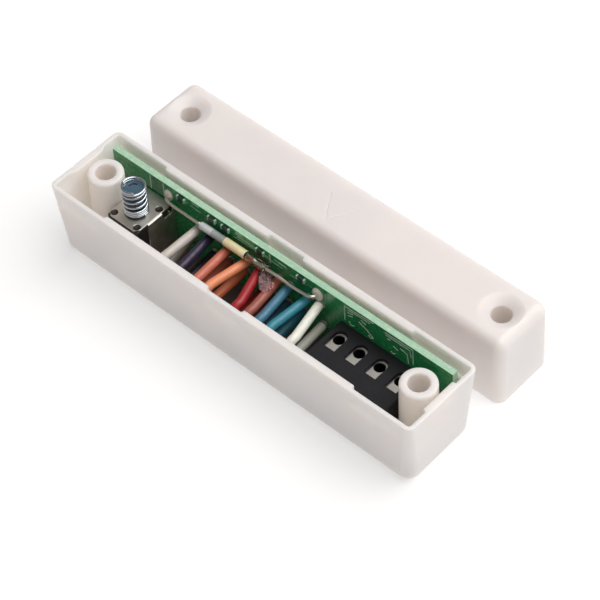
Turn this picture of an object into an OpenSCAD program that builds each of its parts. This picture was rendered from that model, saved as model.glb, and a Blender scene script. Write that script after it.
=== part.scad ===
// Wired surface-mount magnetic door contact: an open contact unit lying on its
// face and a closed magnet unit lying face up beside it. +X runs along both units,
// +Y points from the contact unit to the magnet unit, +Z is up from the table.

/* [Contact unit] */
// Length of both units
unit_l = 67; // [67:0.5:70]
// Width of the contact unit across its open rim
contact_w = 14; // [14:0.1:14.4]
// Depth of the contact unit from face to rim
contact_h = 13.6; // [13.6:0.1:14]
// Draft of each side from rim to face
draft = 0.45; // [0.2:0.05:0.5]
// Thickness of the wall where it carries a pad
wall_t = 1.2; // [1:0.1:1.3]
// How much thinner the wall is beside the pads
pad_t = 0.5; // [0.3:0.1:0.6]
// Height of the pads below the rim
pad_h = 3; // [2:0.5:4]

/* [Magnet unit] */
// Width of the magnet unit
magnet_w = 10.8; // [10.8:0.1:11.2]
// Height of the magnet unit
magnet_h = 12.4; // [12.4:0.1:12.8]
// Gap between the two units at the rim when the door is shut
unit_gap = 4.8; // [4:0.2:8]

/* [Fixings] */
// Distance between the two screw holes of each unit
screw_pitch = 58.2; // [58:0.1:58.6]
// Radius of the screw holes
screw_r = 1.5; // [1.45:0.05:1.6]
// Radius of the countersink in the face of the magnet unit
magnet_sink_r = 3.2; // [2.6:0.1:3.3]
// Radius of the countersink in the face of the contact unit
contact_sink_r = 2.6; // [2.2:0.1:2.7]

/* [Switches and terminals] */
// Distance from one terminal to the next
terminal_pitch = 3.66; // [3.64:0.01:3.67]
// Side of the square tamper switch
switch_w = 6; // [6:0.1:6.2]
// Travel of the tamper plunger
tamper_travel = 1.5; // [0.5:0.1:1.5]
// Diameter of the reed switch glass
reed_d = 1.4; // [1.4:0.1:1.6]
// Outer diameter of the link wires
wire_d = 1.4; // [1.2:0.05:1.45]

/* [Hidden] */
$fn = 48;
e = 0.01;          // how far a cut runs past a face
soft_fn = 32;      // facets round the corners of the moulded shells

// Where the two units stand: the outline of the pair is centred on the origin
pair_w = contact_w + unit_gap + magnet_w;
contact_y = contact_w / 2 - pair_w / 2;
magnet_y = pair_w / 2 - magnet_w / 2;

// Contact housing
half_l = unit_l / 2;
half_w = contact_w / 2;
rim_corner_r = 1.1;
face_fillet_r = 2;
floor_t = 1.4;
inner_corner_r = 0.6;
in_l = half_l - wall_t;          // inside half length at the pads
in_w = half_w - wall_t;          // inside half width at the pads
pad_x = [3.25, 23];              // each long wall has two pads, from here to here
end_pad_y = 3;                   // half width of the pad on each end wall
post_x = screw_pitch / 2;
post_top_r = 2.65;
post_foot_r = 2.75;
sink_slope = 0.65;               // depth of a countersink for each mm of its width
knockout = [5, 7];               // width and height of the break-out for the cable
groove = 0.45;

// Circuit board, on edge along the wall next to the magnet unit
board_x = [-32, 31.4];
board_y = 4.2;
board_t = 1;
board_z = [floor_t, 12.9];
board_back = board_y + board_t;
pin_end = board_back + 0.35;     // how far the pins come through the board

// Reed switch
reed_x = [-13.9, -1.1];
reed_y = 3.05;
reed_z = 10.85;
reed_bore_r = 0.55;
reed_seal = 1.8;
lead_r = 0.25;
lead_x = [-20.9, 7.5];
blade_t = 0.15;
blade_w = 0.7;
blade_gap = 0.01;                // from the middle of the glass to each blade
blade_overlap = [-8.3, -6.9];
blade_hinge_x = reed_x[0] + reed_seal;
band_x = [-9, -4.9];
band_t = 0.06;

// Adhesive that hangs from the end of the glass along the board, as [x, y, z, radius]
GLUE = [[-1.15, 3.4, 10.1, 0.75], [-0.95, 2.5, 9.4, 0.65], [-0.9, 2.6, 8, 0.6], [-0.85, 3.7, 7, 0.5]];

// Tamper switch
switch_x = -23.3;
switch_y = -0.1;
switch_top = 9.55;
cover_t = 0.3;
cover_back = board_y - 0.1 - switch_y;   // the cover reaches back to the board
base_z = [6, switch_top - cover_t];
rivet_pitch = 4.5;
rivet_r = 0.45;
well_r = 2.1;
dome_h = 0.6;
plunger_r = 1.25;
head_r = 1.4;
flange_r = 1.75;
flange_z = [8.75, 9.15];
well_z = flange_z[0] - tamper_travel - dome_h - 0.05;
bracket_t = 0.3;
bracket_z = [2.2, 9.3];
bracket_front = [1.35, -1.1];    // where the cheek next to the post and the other one start
leg_z = [6.9, 7.9];
pin_x = 2.1;
pin_z = 6.3;
pin_r = 0.3;
hole_gap = 0.1;                  // round every pin in the board

// Tamper spring
spring_r = 1.66;
spring_wire_r = 0.19;
spring_top = contact_h + tamper_travel;  // pressed level with the rim
head_top = spring_top - 0.75;            // of the plunger inside it
spring_foot_turns = 3;
spring_open_turns = 3.3;
spring_head_turns = 1.6;
spring_tight = 0.4;              // rise of one closed turn

// Terminal block
block_x0 = 11.65;
block_front = -4.4;
block_z = [1.6, 8.6];
cavity_x = 1.35;
cavity_z = [3, 8.1];
entry_r = 0.97;
entry_y = [-0.42, 1.95];
clamp_travel = 1;
cage_x = 1.2;
cage_y = [-0.6, 3.2];
cavity_y = [cage_y[0] - clamp_travel - 0.15, cage_y[1] + 0.15];
cage_z = [3.2, 8];
cage_front = 1.95;
cage_back = 0.35;
cage_side = 0.3;
cage_roof = 0.5;
cage_hole_r = 0.78;               // the hole for the cable core in the roof of a cage
cage_hole_y = 2.05;
shank_r = 0.8;
shank_gap = 0.05;
screw_head_r = 1.25;
screw_z = 5.4;
screw_y = [-3.9, -3.1, 0.15];    // head face, shoulder and tip
contact_plate_y = [1.45, 1.75];
contact_plate_x = 0.8;
contact_top = 6;
contact_foot_z = [2.45, 2.75];
terminal_pin_r = 0.35;

// Link wires: first x, front x, last x, top height and low height of each
wire_top = 9.1;
wire_low = 4.9;
wire_front = -4.55;
wire_back = 3.5;
core_r = 0.3;
WIRES = [
    [-14.45, -14.55, -16.9, wire_top, wire_low],
    [-12.3, -11.6, -12.2, wire_top - 0.2, wire_low],
    [-8.7, -8.3, -9.2, wire_top, wire_low + 0.7],
    [-5, -6.1, -6.2, wire_top, wire_low + 0.8],
    [-2.8, -0.8, -2.2, wire_top, wire_low + 0.3],
    [0.5, 1.3, -0.2, wire_top, wire_low - 0.4],
    [2.5, 3.3, 2, wire_top, wire_low],
    [5.9, 5.4, 4.9, wire_top, wire_low + 0.5],
    [8, 9.3, 8.4, wire_top + 0.3, wire_low + 0.3]
];
WIRE_COLOURS = [
    "gainsboro", "#2a2440", "salmon", "sandybrown", "firebrick",
    "saddlebrown", "slategray", "teal", "whitesmoke"
];

// Magnet unit
magnet_corner_r = 1.5;
magnet_fillet_r = 1.5;
magnet_draft = 0.2;
magnet_wall = 1.3;
magnet_roof = 1.6;
magnet_post_r = 2.8;
bar_l = 28;
bar_w = 6;
bar_h = 5;
bar_x = -7.9;
bar_top = magnet_h - magnet_roof;
rib_t = 1;
rib_gap = 0.1;
arrow = [2.6, 1.1, -3];          // half width, tail and tip of the arrow mark
arrow_w = 0.35;
arrow_deep = 0.15;

// Which resistors sit where along the board
CHIP_X = [-18.2, -12.2, -9.6, -3, 4.6];
chip = [1.6, 0.45, 0.8];
chip_z = 12.15;

// ---- shared shapes ----

// A cylinder that runs along +Y from y0 to y1
module along_y(x, z, y0, y1, r) {
    translate([x, y0, z]) rotate([-90, 0, 0]) cylinder(r = r, h = y1 - y0);
}

// A cylinder that runs along +X from x0 to x1
module along_x(x0, x1, y, z, r) {
    translate([x0, y, z]) rotate([0, 90, 0]) cylinder(r = r, h = x1 - x0);
}

// A box between two corners
module block(low, high) {
    translate(low) cube(high - low);
}

// A rounded, drafted shell shape: its rim is at z = 0 and its face at z = h
module moulded(half_x, half_y, h, rim_r, fillet_r, inset) {
    hull() {
        for (sx = [-1, 1], sy = [-1, 1]) {
            translate([sx * (half_x - rim_r), sy * (half_y - rim_r), 0])
                cylinder(r = rim_r, h = 0.2, $fn = soft_fn);
            translate([
                sx * (half_x - inset - fillet_r),
                sy * (half_y - inset - fillet_r),
                h - fillet_r
            ])
                sphere(r = fillet_r, $fn = soft_fn);
        }
    }
}

// The hollow inside a shell, with round corners, exact
module hollow(half_x, half_y, z0, z1, r) {
    translate([0, 0, z0]) linear_extrude(z1 - z0) {
        square([2 * half_x, 2 * (half_y - r)], center = true);
        square([2 * (half_x - r), 2 * half_y], center = true);
        for (sx = [-1, 1], sy = [-1, 1])
            translate([sx * (half_x - r), sy * (half_y - r)]) circle(r = r);
    }
}

// Screw hole with its countersink opening at z = 0
module screw_cut(h, sink_r) {
    translate([0, 0, -e]) cylinder(r = screw_r, h = h + 2 * e);
    translate([0, 0, -e])
        cylinder(r1 = sink_r, r2 = screw_r, h = (sink_r - screw_r) * sink_slope + e);
}

// A tube of rings about a path, closed at both ends. The path never runs along side.
function unit(v) = v / norm(v);
function tangent(path, i) =
    unit(path[min(i + 1, len(path) - 1)] - path[max(i - 1, 0)]);
function ring(path, i, r, sides, side) =
    let (t = tangent(path, i), u = unit(cross(t, side)), v = cross(t, u))
    [for (k = [0:sides - 1]) path[i] + r * (cos(360 * k / sides) * u + sin(360 * k / sides) * v)];
module sweep(path, r, sides, side) {
    n = len(path);
    points = [for (i = [0:n - 1]) each ring(path, i, r, sides, side)];
    skin = [for (i = [0:n - 2], k = [0:sides - 1])
        [i * sides + k, (i + 1) * sides + k,
         (i + 1) * sides + (k + 1) % sides, i * sides + (k + 1) % sides]];
    first = [for (k = [0:sides - 1]) k];
    last = [for (k = [sides - 1:-1:0]) (n - 1) * sides + k];
    polyhedron(points, concat(skin, [first, last]), convexity = 10);
}

// ---- contact unit ----

module post(h) {
    translate([0, 0, floor_t / 2])
        cylinder(r1 = post_foot_r, r2 = post_top_r, h = h - floor_t / 2);
}

module rim_recesses() {
    z0 = contact_h - pad_h;
    depth = pad_h + e;
    thin_l = half_l - wall_t + pad_t;
    thin_w = half_w - wall_t + pad_t;
    difference() {
        hollow(thin_l, thin_w, z0, z0 + depth, rim_corner_r - wall_t + pad_t);
        for (sx = [-1, 1]) {
            x0 = sx > 0 ? pad_x[0] : -pad_x[1];
            for (sy = [-1, 1])
                translate([x0, sy > 0 ? in_w : -in_w - 1, z0 - 1])
                    cube([pad_x[1] - pad_x[0], 1, depth + 2]);
            translate([sx > 0 ? in_l : -in_l - 1, -end_pad_y, z0 - 1])
                cube([1, 2 * end_pad_y, depth + 2]);
        }
    }
}

module knockout_groove() {
    x = -half_l - e;
    translate([x, 0, contact_h]) rotate([0, 90, 0]) linear_extrude(groove + draft) {
        difference() {
            union() {
                translate([knockout[1] - knockout[0] / 2, 0]) circle(d = knockout[0]);
                translate([-e, -knockout[0] / 2])
                    square([knockout[1] - knockout[0] / 2 + e, knockout[0]]);
            }
            translate([knockout[1] - knockout[0] / 2, 0]) circle(d = knockout[0] - 2 * groove);
            translate([-1, -knockout[0] / 2 + groove])
                square([knockout[1] - knockout[0] / 2 + 1, knockout[0] - 2 * groove]);
        }
    }
}

module contact_housing() {
    color("seashell") difference() {
        union() {
            difference() {
                translate([0, 0, contact_h]) mirror([0, 0, 1])
                    moulded(half_l, half_w, contact_h, rim_corner_r, face_fillet_r, draft);
                hollow(in_l, in_w, floor_t, contact_h + e, inner_corner_r);
                rim_recesses();
                knockout_groove();
            }
            for (sx = [-1, 1]) translate([sx * post_x, 0, 0]) post(contact_h);
        }
        for (sx = [-1, 1]) translate([sx * post_x, 0, 0]) screw_cut(contact_h, contact_sink_r);
    }
}

// Places of everything that passes through the board, as [x, z, radius]
terminal_x = [for (i = [0:3]) block_x0 + terminal_pitch * (i + 0.5)];
terminal_pin_z = (contact_foot_z[0] + contact_foot_z[1]) / 2;
lead_places = [for (x = lead_x) [x, reed_z, lead_r]];
core_places = [for (w = WIRES) each [[w[0], w[3], core_r], [w[2], w[4], core_r]]];
terminal_places = [for (x = terminal_x) [x, terminal_pin_z, terminal_pin_r]];
switch_places = [for (s = [-1, 1]) [switch_x + s * pin_x, pin_z, pin_r]];

module bracket_legs(gap, y0, y1) {
    for (s = [-1, 1]) {
        x = switch_x + s * (switch_w / 2 + bracket_t / 2 + 0.05);
        block([x - bracket_t / 2 - gap, y0, leg_z[0] - gap],
              [x + bracket_t / 2 + gap, y1, leg_z[1] + gap]);
    }
}

module circuit_board() {
    color("seagreen") difference() {
        block([board_x[0], board_y, board_z[0]], [board_x[1], board_back, board_z[1]]);
        for (p = concat(lead_places, core_places, terminal_places, switch_places))
            along_y(p[0], p[1], board_y - e, board_back + e, p[2] + hole_gap);
        bracket_legs(hole_gap, board_y - e, board_back + e);
    }
}

module chip_resistors() {
    color("dimgray") for (x = CHIP_X)
        translate([x - chip[0] / 2, board_y - chip[1], chip_z - chip[2] / 2]) cube(chip);
}

// A ring of solder round a pin, wide at the board and narrow at the pin
module fillet(p, y, side) {
    translate([p[0], y, p[1]]) rotate([side * 90, 0, 0])
        rotate_extrude() polygon([
            [p[2], 0], [p[2] + 0.45, 0], [p[2] + 0.3, 0.14], [p[2] + 0.1, 0.3], [p[2], 0.32]
        ]);
}

module solder_joints() {
    color("lightgray") {
        for (p = concat(lead_places, core_places)) fillet(p, board_y, 1);
        for (p = concat(terminal_places, switch_places)) fillet(p, board_back, -1);
    }
}

module reed_glass() {
    r = reed_d / 2;
    l = reed_x[1] - reed_x[0];
    tip = 0.35;
    color("aliceblue", 0.5) translate([reed_x[0], reed_y, reed_z]) rotate([0, 90, 0])
        rotate_extrude() polygon([
            [lead_r, 0], [r - tip, 0.08], [r - tip / 3, tip / 2], [r, tip * 1.4],
            [r, l - tip * 1.4], [r - tip / 3, l - tip / 2], [r - tip, l - 0.08], [lead_r, l],
            [lead_r, l - reed_seal], [reed_bore_r, l - reed_seal - 0.5],
            [reed_bore_r, reed_seal + 0.5], [lead_r, reed_seal]
        ]);
}

// A lead from the end of the glass, bent round into the board
module bent_lead(x_glass, x_board) {
    along_x(min(x_glass, x_board), max(x_glass, x_board), reed_y, reed_z, lead_r);
    translate([x_board, reed_y, reed_z]) sphere(r = lead_r, $fn = 24);
    along_y(x_board, reed_z, reed_y, pin_end, lead_r);
}

module reed_blade_fixed() {
    color("silver") {
        bent_lead(reed_x[1] - reed_seal, lead_x[1]);
        block([blade_overlap[0], reed_y + blade_gap, reed_z - blade_w / 2],
              [reed_x[1] - reed_seal - 0.4, reed_y + blade_gap + blade_t, reed_z + blade_w / 2]);
        along_x(reed_x[1] - reed_seal - 0.5, reed_x[1] - reed_seal + e, reed_y, reed_z, lead_r);
    }
}

module reed_blade_moving() {
    color("silver")
        block([blade_hinge_x + 0.15, reed_y - blade_gap - blade_t, reed_z - blade_w / 2],
              [blade_overlap[1], reed_y - blade_gap, reed_z + blade_w / 2]);
}

module reed_lead() {
    color("silver") bent_lead(blade_hinge_x, lead_x[0]);
}

module reed_band() {
    color("wheat") translate([band_x[0], reed_y, reed_z]) rotate([0, 90, 0]) difference() {
        cylinder(r = reed_d / 2 + band_t, h = band_x[1] - band_x[0]);
        translate([0, 0, -e]) cylinder(r = reed_d / 2, h = band_x[1] - band_x[0] + 2 * e);
    }
}

module glue_dab() {
    color("white", 0.5) hull() {
        for (p = GLUE) translate([p[0], p[1], p[2]]) sphere(r = p[3], $fn = 16);
    }
}

module rivets(r, z0, z1) {
    for (sx = [-1, 1], sy = [-1, 1])
        translate([sx * rivet_pitch / 2, sy * rivet_pitch / 2, z0])
            cylinder(r = r, h = z1 - z0, $fn = 24);
}

module switch_base() {
    color("#202020") translate([switch_x, switch_y, 0]) difference() {
        union() {
            block([-switch_w / 2, -switch_w / 2, base_z[0]], [switch_w / 2, switch_w / 2, base_z[1]]);
            rivets(rivet_r, base_z[1] - e, switch_top + 0.05);
        }
        translate([0, 0, well_z]) cylinder(r = well_r, h = base_z[1] - well_z + 1);
        for (s = [-1, 1])
            along_y(s * pin_x, pin_z, 0, switch_w, pin_r);
    }
}

module switch_cover() {
    cut = 0.7;
    h = switch_w / 2;
    color("gray") translate([switch_x, switch_y, base_z[1]]) difference() {
        linear_extrude(cover_t) polygon([
            [-h + cut, -h], [h - cut, -h], [h, -h + cut], [h, cover_back - cut],
            [h - cut, cover_back], [-h + cut, cover_back], [-h, cover_back - cut], [-h, -h + cut]
        ]);
        translate([0, 0, -e]) cylinder(r = plunger_r + 0.1, h = cover_t + 2 * e);
        rivets(rivet_r + 0.03, -e, cover_t + e);
    }
}

module switch_bracket() {
    color("darkgray") {
        for (s = [-1, 1]) {
            x = switch_x + s * (switch_w / 2 + bracket_t / 2 + 0.05);
            block([x - bracket_t / 2, bracket_front[s < 0 ? 0 : 1], bracket_z[0]],
                  [x + bracket_t / 2, board_y - 0.05, bracket_z[1]]);
        }
        block([switch_x - switch_w / 2 - 0.1, switch_y + switch_w / 2 + 0.1, leg_z[0]],
              [switch_x + switch_w / 2 + 0.1, switch_y + switch_w / 2 + 0.4, bracket_z[1] - 0.4]);
        bracket_legs(0, board_y - 0.1, pin_end);
    }
}

module switch_pins() {
    color("silver") for (p = switch_places)
        along_y(p[0], p[1], switch_y + switch_w / 2 - 1, pin_end, pin_r);
}

module switch_dome() {
    r = well_r - 0.15;
    color("lightgray") translate([switch_x, switch_y, well_z]) rotate_extrude()
        polygon([
            [0, dome_h - 0.1], [r * 0.6, dome_h - 0.22], [r, 0], [r, 0.1],
            [r * 0.6, dome_h - 0.12], [0, dome_h]
        ]);
}

module tamper_plunger() {
    color("#5a6670") translate([switch_x, switch_y, 0]) rotate_extrude() polygon([
        [0, flange_z[0]], [flange_r, flange_z[0]], [flange_r, flange_z[1]],
        [plunger_r, flange_z[1]], [plunger_r, head_top - 0.9], [head_r, head_top - 0.75],
        [head_r, head_top - 0.15], [head_r - 0.15, head_top], [0.8, head_top],
        [0.5, head_top - 0.12], [0, head_top - 0.15]
    ]);
}

// Height of the spring wire after t turns: closed, open, then closed again
spring_low = switch_top + spring_wire_r + 0.03;
spring_turns = spring_foot_turns + spring_open_turns + spring_head_turns;
spring_rise = spring_top - spring_wire_r - spring_low
    - (spring_foot_turns + spring_head_turns) * spring_tight;
function spring_height(t) =
    spring_low + spring_tight * min(t, spring_foot_turns)
    + spring_rise * min(max(t - spring_foot_turns, 0), spring_open_turns) / spring_open_turns
    + spring_tight * max(t - spring_foot_turns - spring_open_turns, 0);

module tamper_spring() {
    steps = 20;
    path = [for (i = [0:floor(spring_turns * steps)])
        let (t = i / steps)
        [spring_r * cos(360 * t), spring_r * sin(360 * t), spring_height(t)]];
    color("lightsteelblue") translate([switch_x, switch_y, 0]) sweep(path, spring_wire_r, 8, [0, 0, 1]);
}

module terminal_cell_cut() {
    block([-cavity_x, cavity_y[0], cavity_z[0]], [cavity_x, cavity_y[1], cavity_z[1]]);
    translate([0, 0, cavity_z[1] - e]) linear_extrude(block_z[1] - cavity_z[1] + 2 * e) {
        translate([-entry_r, entry_y[0]]) square([2 * entry_r, entry_y[1] - entry_y[0]]);
        translate([0, entry_y[1]]) circle(r = entry_r);
    }
    along_y(0, screw_z, block_front - e, screw_y[1] + shank_gap, screw_head_r + 0.15);
    along_y(0, screw_z, screw_y[1], cavity_y[0] + e, shank_r + shank_gap);
    block([-contact_plate_x - 0.05, contact_plate_y[0] - 0.05, contact_foot_z[0] - 0.05],
          [contact_plate_x + 0.05, board_y + e, cavity_z[0] + e]);
    along_y(0, terminal_pin_z, board_y - 0.45, board_y + e, terminal_pin_r + 0.05);
}

module terminal_block_body() {
    color("#1c1c20") difference() {
        block([block_x0, block_front, block_z[0]],
              [block_x0 + 4 * terminal_pitch, board_y, block_z[1]]);
        for (x = terminal_x) translate([x, 0, 0]) terminal_cell_cut();
    }
}

module terminal_contacts() {
    color("silver") for (x = terminal_x) translate([x, 0, 0]) {
        block([-contact_plate_x, contact_plate_y[0], contact_foot_z[0]],
              [contact_plate_x, contact_plate_y[1], contact_top]);
        block([-contact_plate_x, contact_plate_y[0], contact_foot_z[0]],
              [contact_plate_x, board_y - 0.1, contact_foot_z[1]]);
        along_y(0, terminal_pin_z, board_y - 0.4, pin_end, terminal_pin_r);
    }
}

module terminal_cage(i) {
    color("lightgray") translate([terminal_x[i - 1], 0, 0]) difference() {
        block([-cage_x, cage_y[0], cage_z[0]], [cage_x, cage_y[1], cage_z[1]]);
        block([-cage_x + cage_side, cage_y[0] + cage_front, cage_z[0] - e],
              [cage_x - cage_side, cage_y[1] - cage_back, cage_z[1] - cage_roof]);
        translate([0, cage_hole_y, cage_z[1] - cage_roof - e])
            cylinder(h = cage_roof + 2 * e, r = cage_hole_r);
        along_y(0, screw_z, cage_y[0] - e, cage_y[0] + cage_front + e, shank_r + shank_gap);
    }
}

module terminal_screw(i) {
    color("silver") translate([terminal_x[i - 1], 0, 0]) difference() {
        union() {
            along_y(0, screw_z, screw_y[0], screw_y[1], screw_head_r);
            along_y(0, screw_z, screw_y[1] - e, screw_y[2], shank_r);
        }
        block([-screw_head_r - 1, screw_y[0] - e, screw_z - 0.2],
              [screw_head_r + 1, screw_y[0] + 0.4, screw_z + 0.2]);
    }
}

// A link wire leaves the board, turns down near the front wall and comes back
function wire_path(w) =
    let (bend = (w[3] - w[4]) / 2, centre_y = wire_front + bend, centre_z = (w[3] + w[4]) / 2)
    concat(
        [for (s = [0:3]) [w[0] + (w[1] - w[0]) * s / 4,
            wire_back + (centre_y - wire_back) * s / 4, w[3]]],
        [for (a = [0:22.5:180]) [w[1] + (w[2] - w[1]) * a / 360,
            centre_y - bend * sin(a), centre_z + bend * cos(a)]],
        [for (s = [1:4]) [(w[1] + w[2]) / 2 + (w[2] - w[1]) / 2 * s / 4,
            centre_y + (wire_back - centre_y) * s / 4, w[4]]]
    );

module link_wire(n) {
    color(WIRE_COLOURS[n]) sweep(wire_path(WIRES[n]), wire_d / 2, 8, [1, 0, 0]);
}

module link_wire_cores() {
    color("lightgray") for (p = core_places) along_y(p[0], p[1], wire_back, pin_end, core_r);
}

// ---- magnet unit ----

module arrow_cut() {
    for (s = [-1, 1]) hull() {
        translate([s * arrow[0], arrow[1], magnet_h - arrow_deep])
            cylinder(d = arrow_w, h = 1, $fn = 16);
        translate([0, arrow[2], magnet_h - arrow_deep]) cylinder(d = arrow_w, h = 1, $fn = 16);
    }
}

module magnet_housing() {
    color("seashell") difference() {
        union() {
            difference() {
                moulded(half_l, magnet_w / 2, magnet_h, magnet_corner_r, magnet_fillet_r,
                    magnet_draft);
                hollow(half_l - magnet_wall, magnet_w / 2 - magnet_wall, -e, bar_top, 1);
            }
            for (sx = [-1, 1]) translate([sx * post_x, 0, 0])
                cylinder(r = magnet_post_r, h = magnet_h - magnet_roof / 2);
            for (s = [-1, 1]) {
                x = bar_x + s * (bar_l / 2 + rib_gap + rib_t / 2);
                block([x - rib_t / 2, -magnet_w / 2 + 1, bar_top - bar_h - 1],
                      [x + rib_t / 2, magnet_w / 2 - 1, bar_top + 0.1]);
            }
        }
        for (sx = [-1, 1]) translate([sx * post_x, 0, magnet_h]) mirror([0, 0, 1])
            screw_cut(magnet_h, magnet_sink_r);
        arrow_cut();
    }
}

module magnet_bar() {
    color("dimgray")
        block([bar_x - bar_l / 2, -bar_w / 2, bar_top - bar_h], [bar_x + bar_l / 2, bar_w / 2, bar_top]);
}

module magnet_glue() {
    color("wheat") for (s = [-1, 1])
        translate([bar_x + s * bar_l / 3, 0, bar_top - bar_h]) mirror([0, 0, 1])
            rotate_extrude() polygon([[0, 0], [2.4, 0], [2, 0.5], [1, 0.9], [0, 1]]);
}

module in_contact() { translate([0, contact_y, 0]) children(); }
module in_magnet() { translate([0, magnet_y, 0]) children(); }

in_contact() contact_housing();
in_contact() circuit_board();
in_contact() chip_resistors();
in_contact() solder_joints();
in_contact() reed_glass();
in_contact() reed_blade_fixed();
in_contact() reed_blade_moving();
in_contact() reed_lead();
in_contact() reed_band();
in_contact() glue_dab();
in_contact() switch_base();
in_contact() switch_cover();
in_contact() switch_bracket();
in_contact() switch_pins();
in_contact() switch_dome();
in_contact() tamper_plunger();
in_contact() tamper_spring();
in_contact() terminal_block_body();
in_contact() terminal_contacts();
in_contact() terminal_cage(1);  // terminal_cage_1
in_contact() terminal_cage(2);  // terminal_cage_2
in_contact() terminal_cage(3);  // terminal_cage_3
in_contact() terminal_cage(4);  // terminal_cage_4
in_contact() terminal_screw(1);  // terminal_screw_1
in_contact() terminal_screw(2);  // terminal_screw_2
in_contact() terminal_screw(3);  // terminal_screw_3
in_contact() terminal_screw(4);  // terminal_screw_4
in_contact() link_wire(0);  // link_wire_grey
in_contact() link_wire(1);  // link_wire_violet
in_contact() link_wire(2);  // link_wire_salmon
in_contact() link_wire(3);  // link_wire_orange
in_contact() link_wire(4);  // link_wire_red
in_contact() link_wire(5);  // link_wire_brown
in_contact() link_wire(6);  // link_wire_blue
in_contact() link_wire(7);  // link_wire_teal
in_contact() link_wire(8);  // link_wire_white
in_contact() link_wire_cores();
in_magnet() magnet_housing();
in_magnet() magnet_bar();
in_magnet() magnet_glue();
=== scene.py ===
import math

import bmesh
import bpy
from mathutils import Matrix, Vector, noise


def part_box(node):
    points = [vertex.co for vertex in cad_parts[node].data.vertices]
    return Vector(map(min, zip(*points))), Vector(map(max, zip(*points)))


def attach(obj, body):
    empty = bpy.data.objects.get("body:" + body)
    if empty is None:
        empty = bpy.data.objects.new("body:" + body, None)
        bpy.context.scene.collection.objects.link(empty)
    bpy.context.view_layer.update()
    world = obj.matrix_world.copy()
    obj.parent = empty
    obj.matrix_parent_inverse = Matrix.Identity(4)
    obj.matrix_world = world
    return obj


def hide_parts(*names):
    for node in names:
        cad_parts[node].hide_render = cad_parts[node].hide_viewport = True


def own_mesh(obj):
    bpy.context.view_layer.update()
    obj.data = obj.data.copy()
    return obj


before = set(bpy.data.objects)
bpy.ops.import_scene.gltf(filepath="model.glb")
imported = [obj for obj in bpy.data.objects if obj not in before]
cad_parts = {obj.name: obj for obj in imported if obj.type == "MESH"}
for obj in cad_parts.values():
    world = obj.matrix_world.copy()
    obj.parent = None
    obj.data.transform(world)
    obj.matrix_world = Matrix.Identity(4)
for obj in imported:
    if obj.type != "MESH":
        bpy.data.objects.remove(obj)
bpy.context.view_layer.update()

# Shapes are built in millimetres, each in the frame of its own unit: the origin is the middle
# of that unit's plan on the table. settle() turns a shape into a piece, in metres.
MM = 0.001
TAU = 2 * math.pi
scene = bpy.context.scene
noise.seed_set(1)    # without a seed, noise_vector differs from run to run


def plan_centre(node):
    """The middle of a unit's plan, on the table, in metres."""
    low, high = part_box(node)
    return Vector(((low.x + high.x) / 2, (low.y + high.y) / 2, 0))


def half_size(node):
    """Half length, half width and height of a unit, in millimetres."""
    low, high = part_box(node)
    return (high.x - low.x) / 2 / MM, (high.y - low.y) / 2 / MM, (high.z - low.z) / MM


CONTACT = plan_centre("contact_housing")
MAGNET = plan_centre("magnet_housing")


def local_box(node, origin=CONTACT):
    """Lowest and highest corner of a node in its unit's own millimetres."""
    low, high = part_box(node)
    return (low - origin) / MM, (high - origin) / MM


# ---- shapes: each is a pair of lists, points and faces ----

def merge(*shapes):
    """Several shapes as one."""
    points, faces = [], []
    for shape_points, shape_faces in shapes:
        start = len(points)
        points += shape_points
        faces += [[start + i for i in face] for face in shape_faces]
    return points, faces


def moved(shape, offset):
    """The same shape somewhere else."""
    return [p + Vector(offset) for p in shape[0]], shape[1]


def turned(shape, angle, axis):
    """The same shape turned about an axis through the origin."""
    turn = Matrix.Rotation(angle, 3, axis)
    return [turn @ p for p in shape[0]], shape[1]


def loft(rings, capped=True):
    """A skin over rings of equal length, closed at both ends or joined end to end."""
    count, sides = len(rings), len(rings[0])
    points = [Vector(p) for ring in rings for p in ring]
    faces = []
    for i in range(count - 1 if capped else count):
        j = (i + 1) % count
        for k in range(sides):
            n = (k + 1) % sides
            faces.append([i * sides + k, i * sides + n, j * sides + n, j * sides + k])
    if capped:
        faces.append([k for k in reversed(range(sides))])
        faces.append([(count - 1) * sides + k for k in range(sides)])
    return points, faces


def lathe(profile, sides=48, capped=True):
    """A profile of (radius, height) turned about Z. An uncapped profile is a closed loop."""
    rings = []
    for radius, height in profile:
        r = max(radius, 1e-5)
        rings.append([
            (r * math.cos(TAU * k / sides), r * math.sin(TAU * k / sides), height)
            for k in range(sides)
        ])
    return loft(rings, capped)


def lathe_y(profile, centre, sides=32, capped=True):
    """A lathe whose heights run along +Y from its centre."""
    return moved(turned(lathe(profile, sides, capped), -math.pi / 2, "X"), centre)


def lathe_x(profile, centre, sides=32, capped=True):
    """A lathe whose heights run along +X from its centre."""
    return moved(turned(lathe(profile, sides, capped), math.pi / 2, "Y"), centre)


def arc(centre, radius, start, end, steps):
    """Points (u, v) along a circle, with angles in degrees."""
    return [
        (
            centre[0] + radius * math.cos(math.radians(start + (end - start) * i / steps)),
            centre[1] + radius * math.sin(math.radians(start + (end - start) * i / steps)),
        )
        for i in range(steps + 1)
    ]


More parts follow.
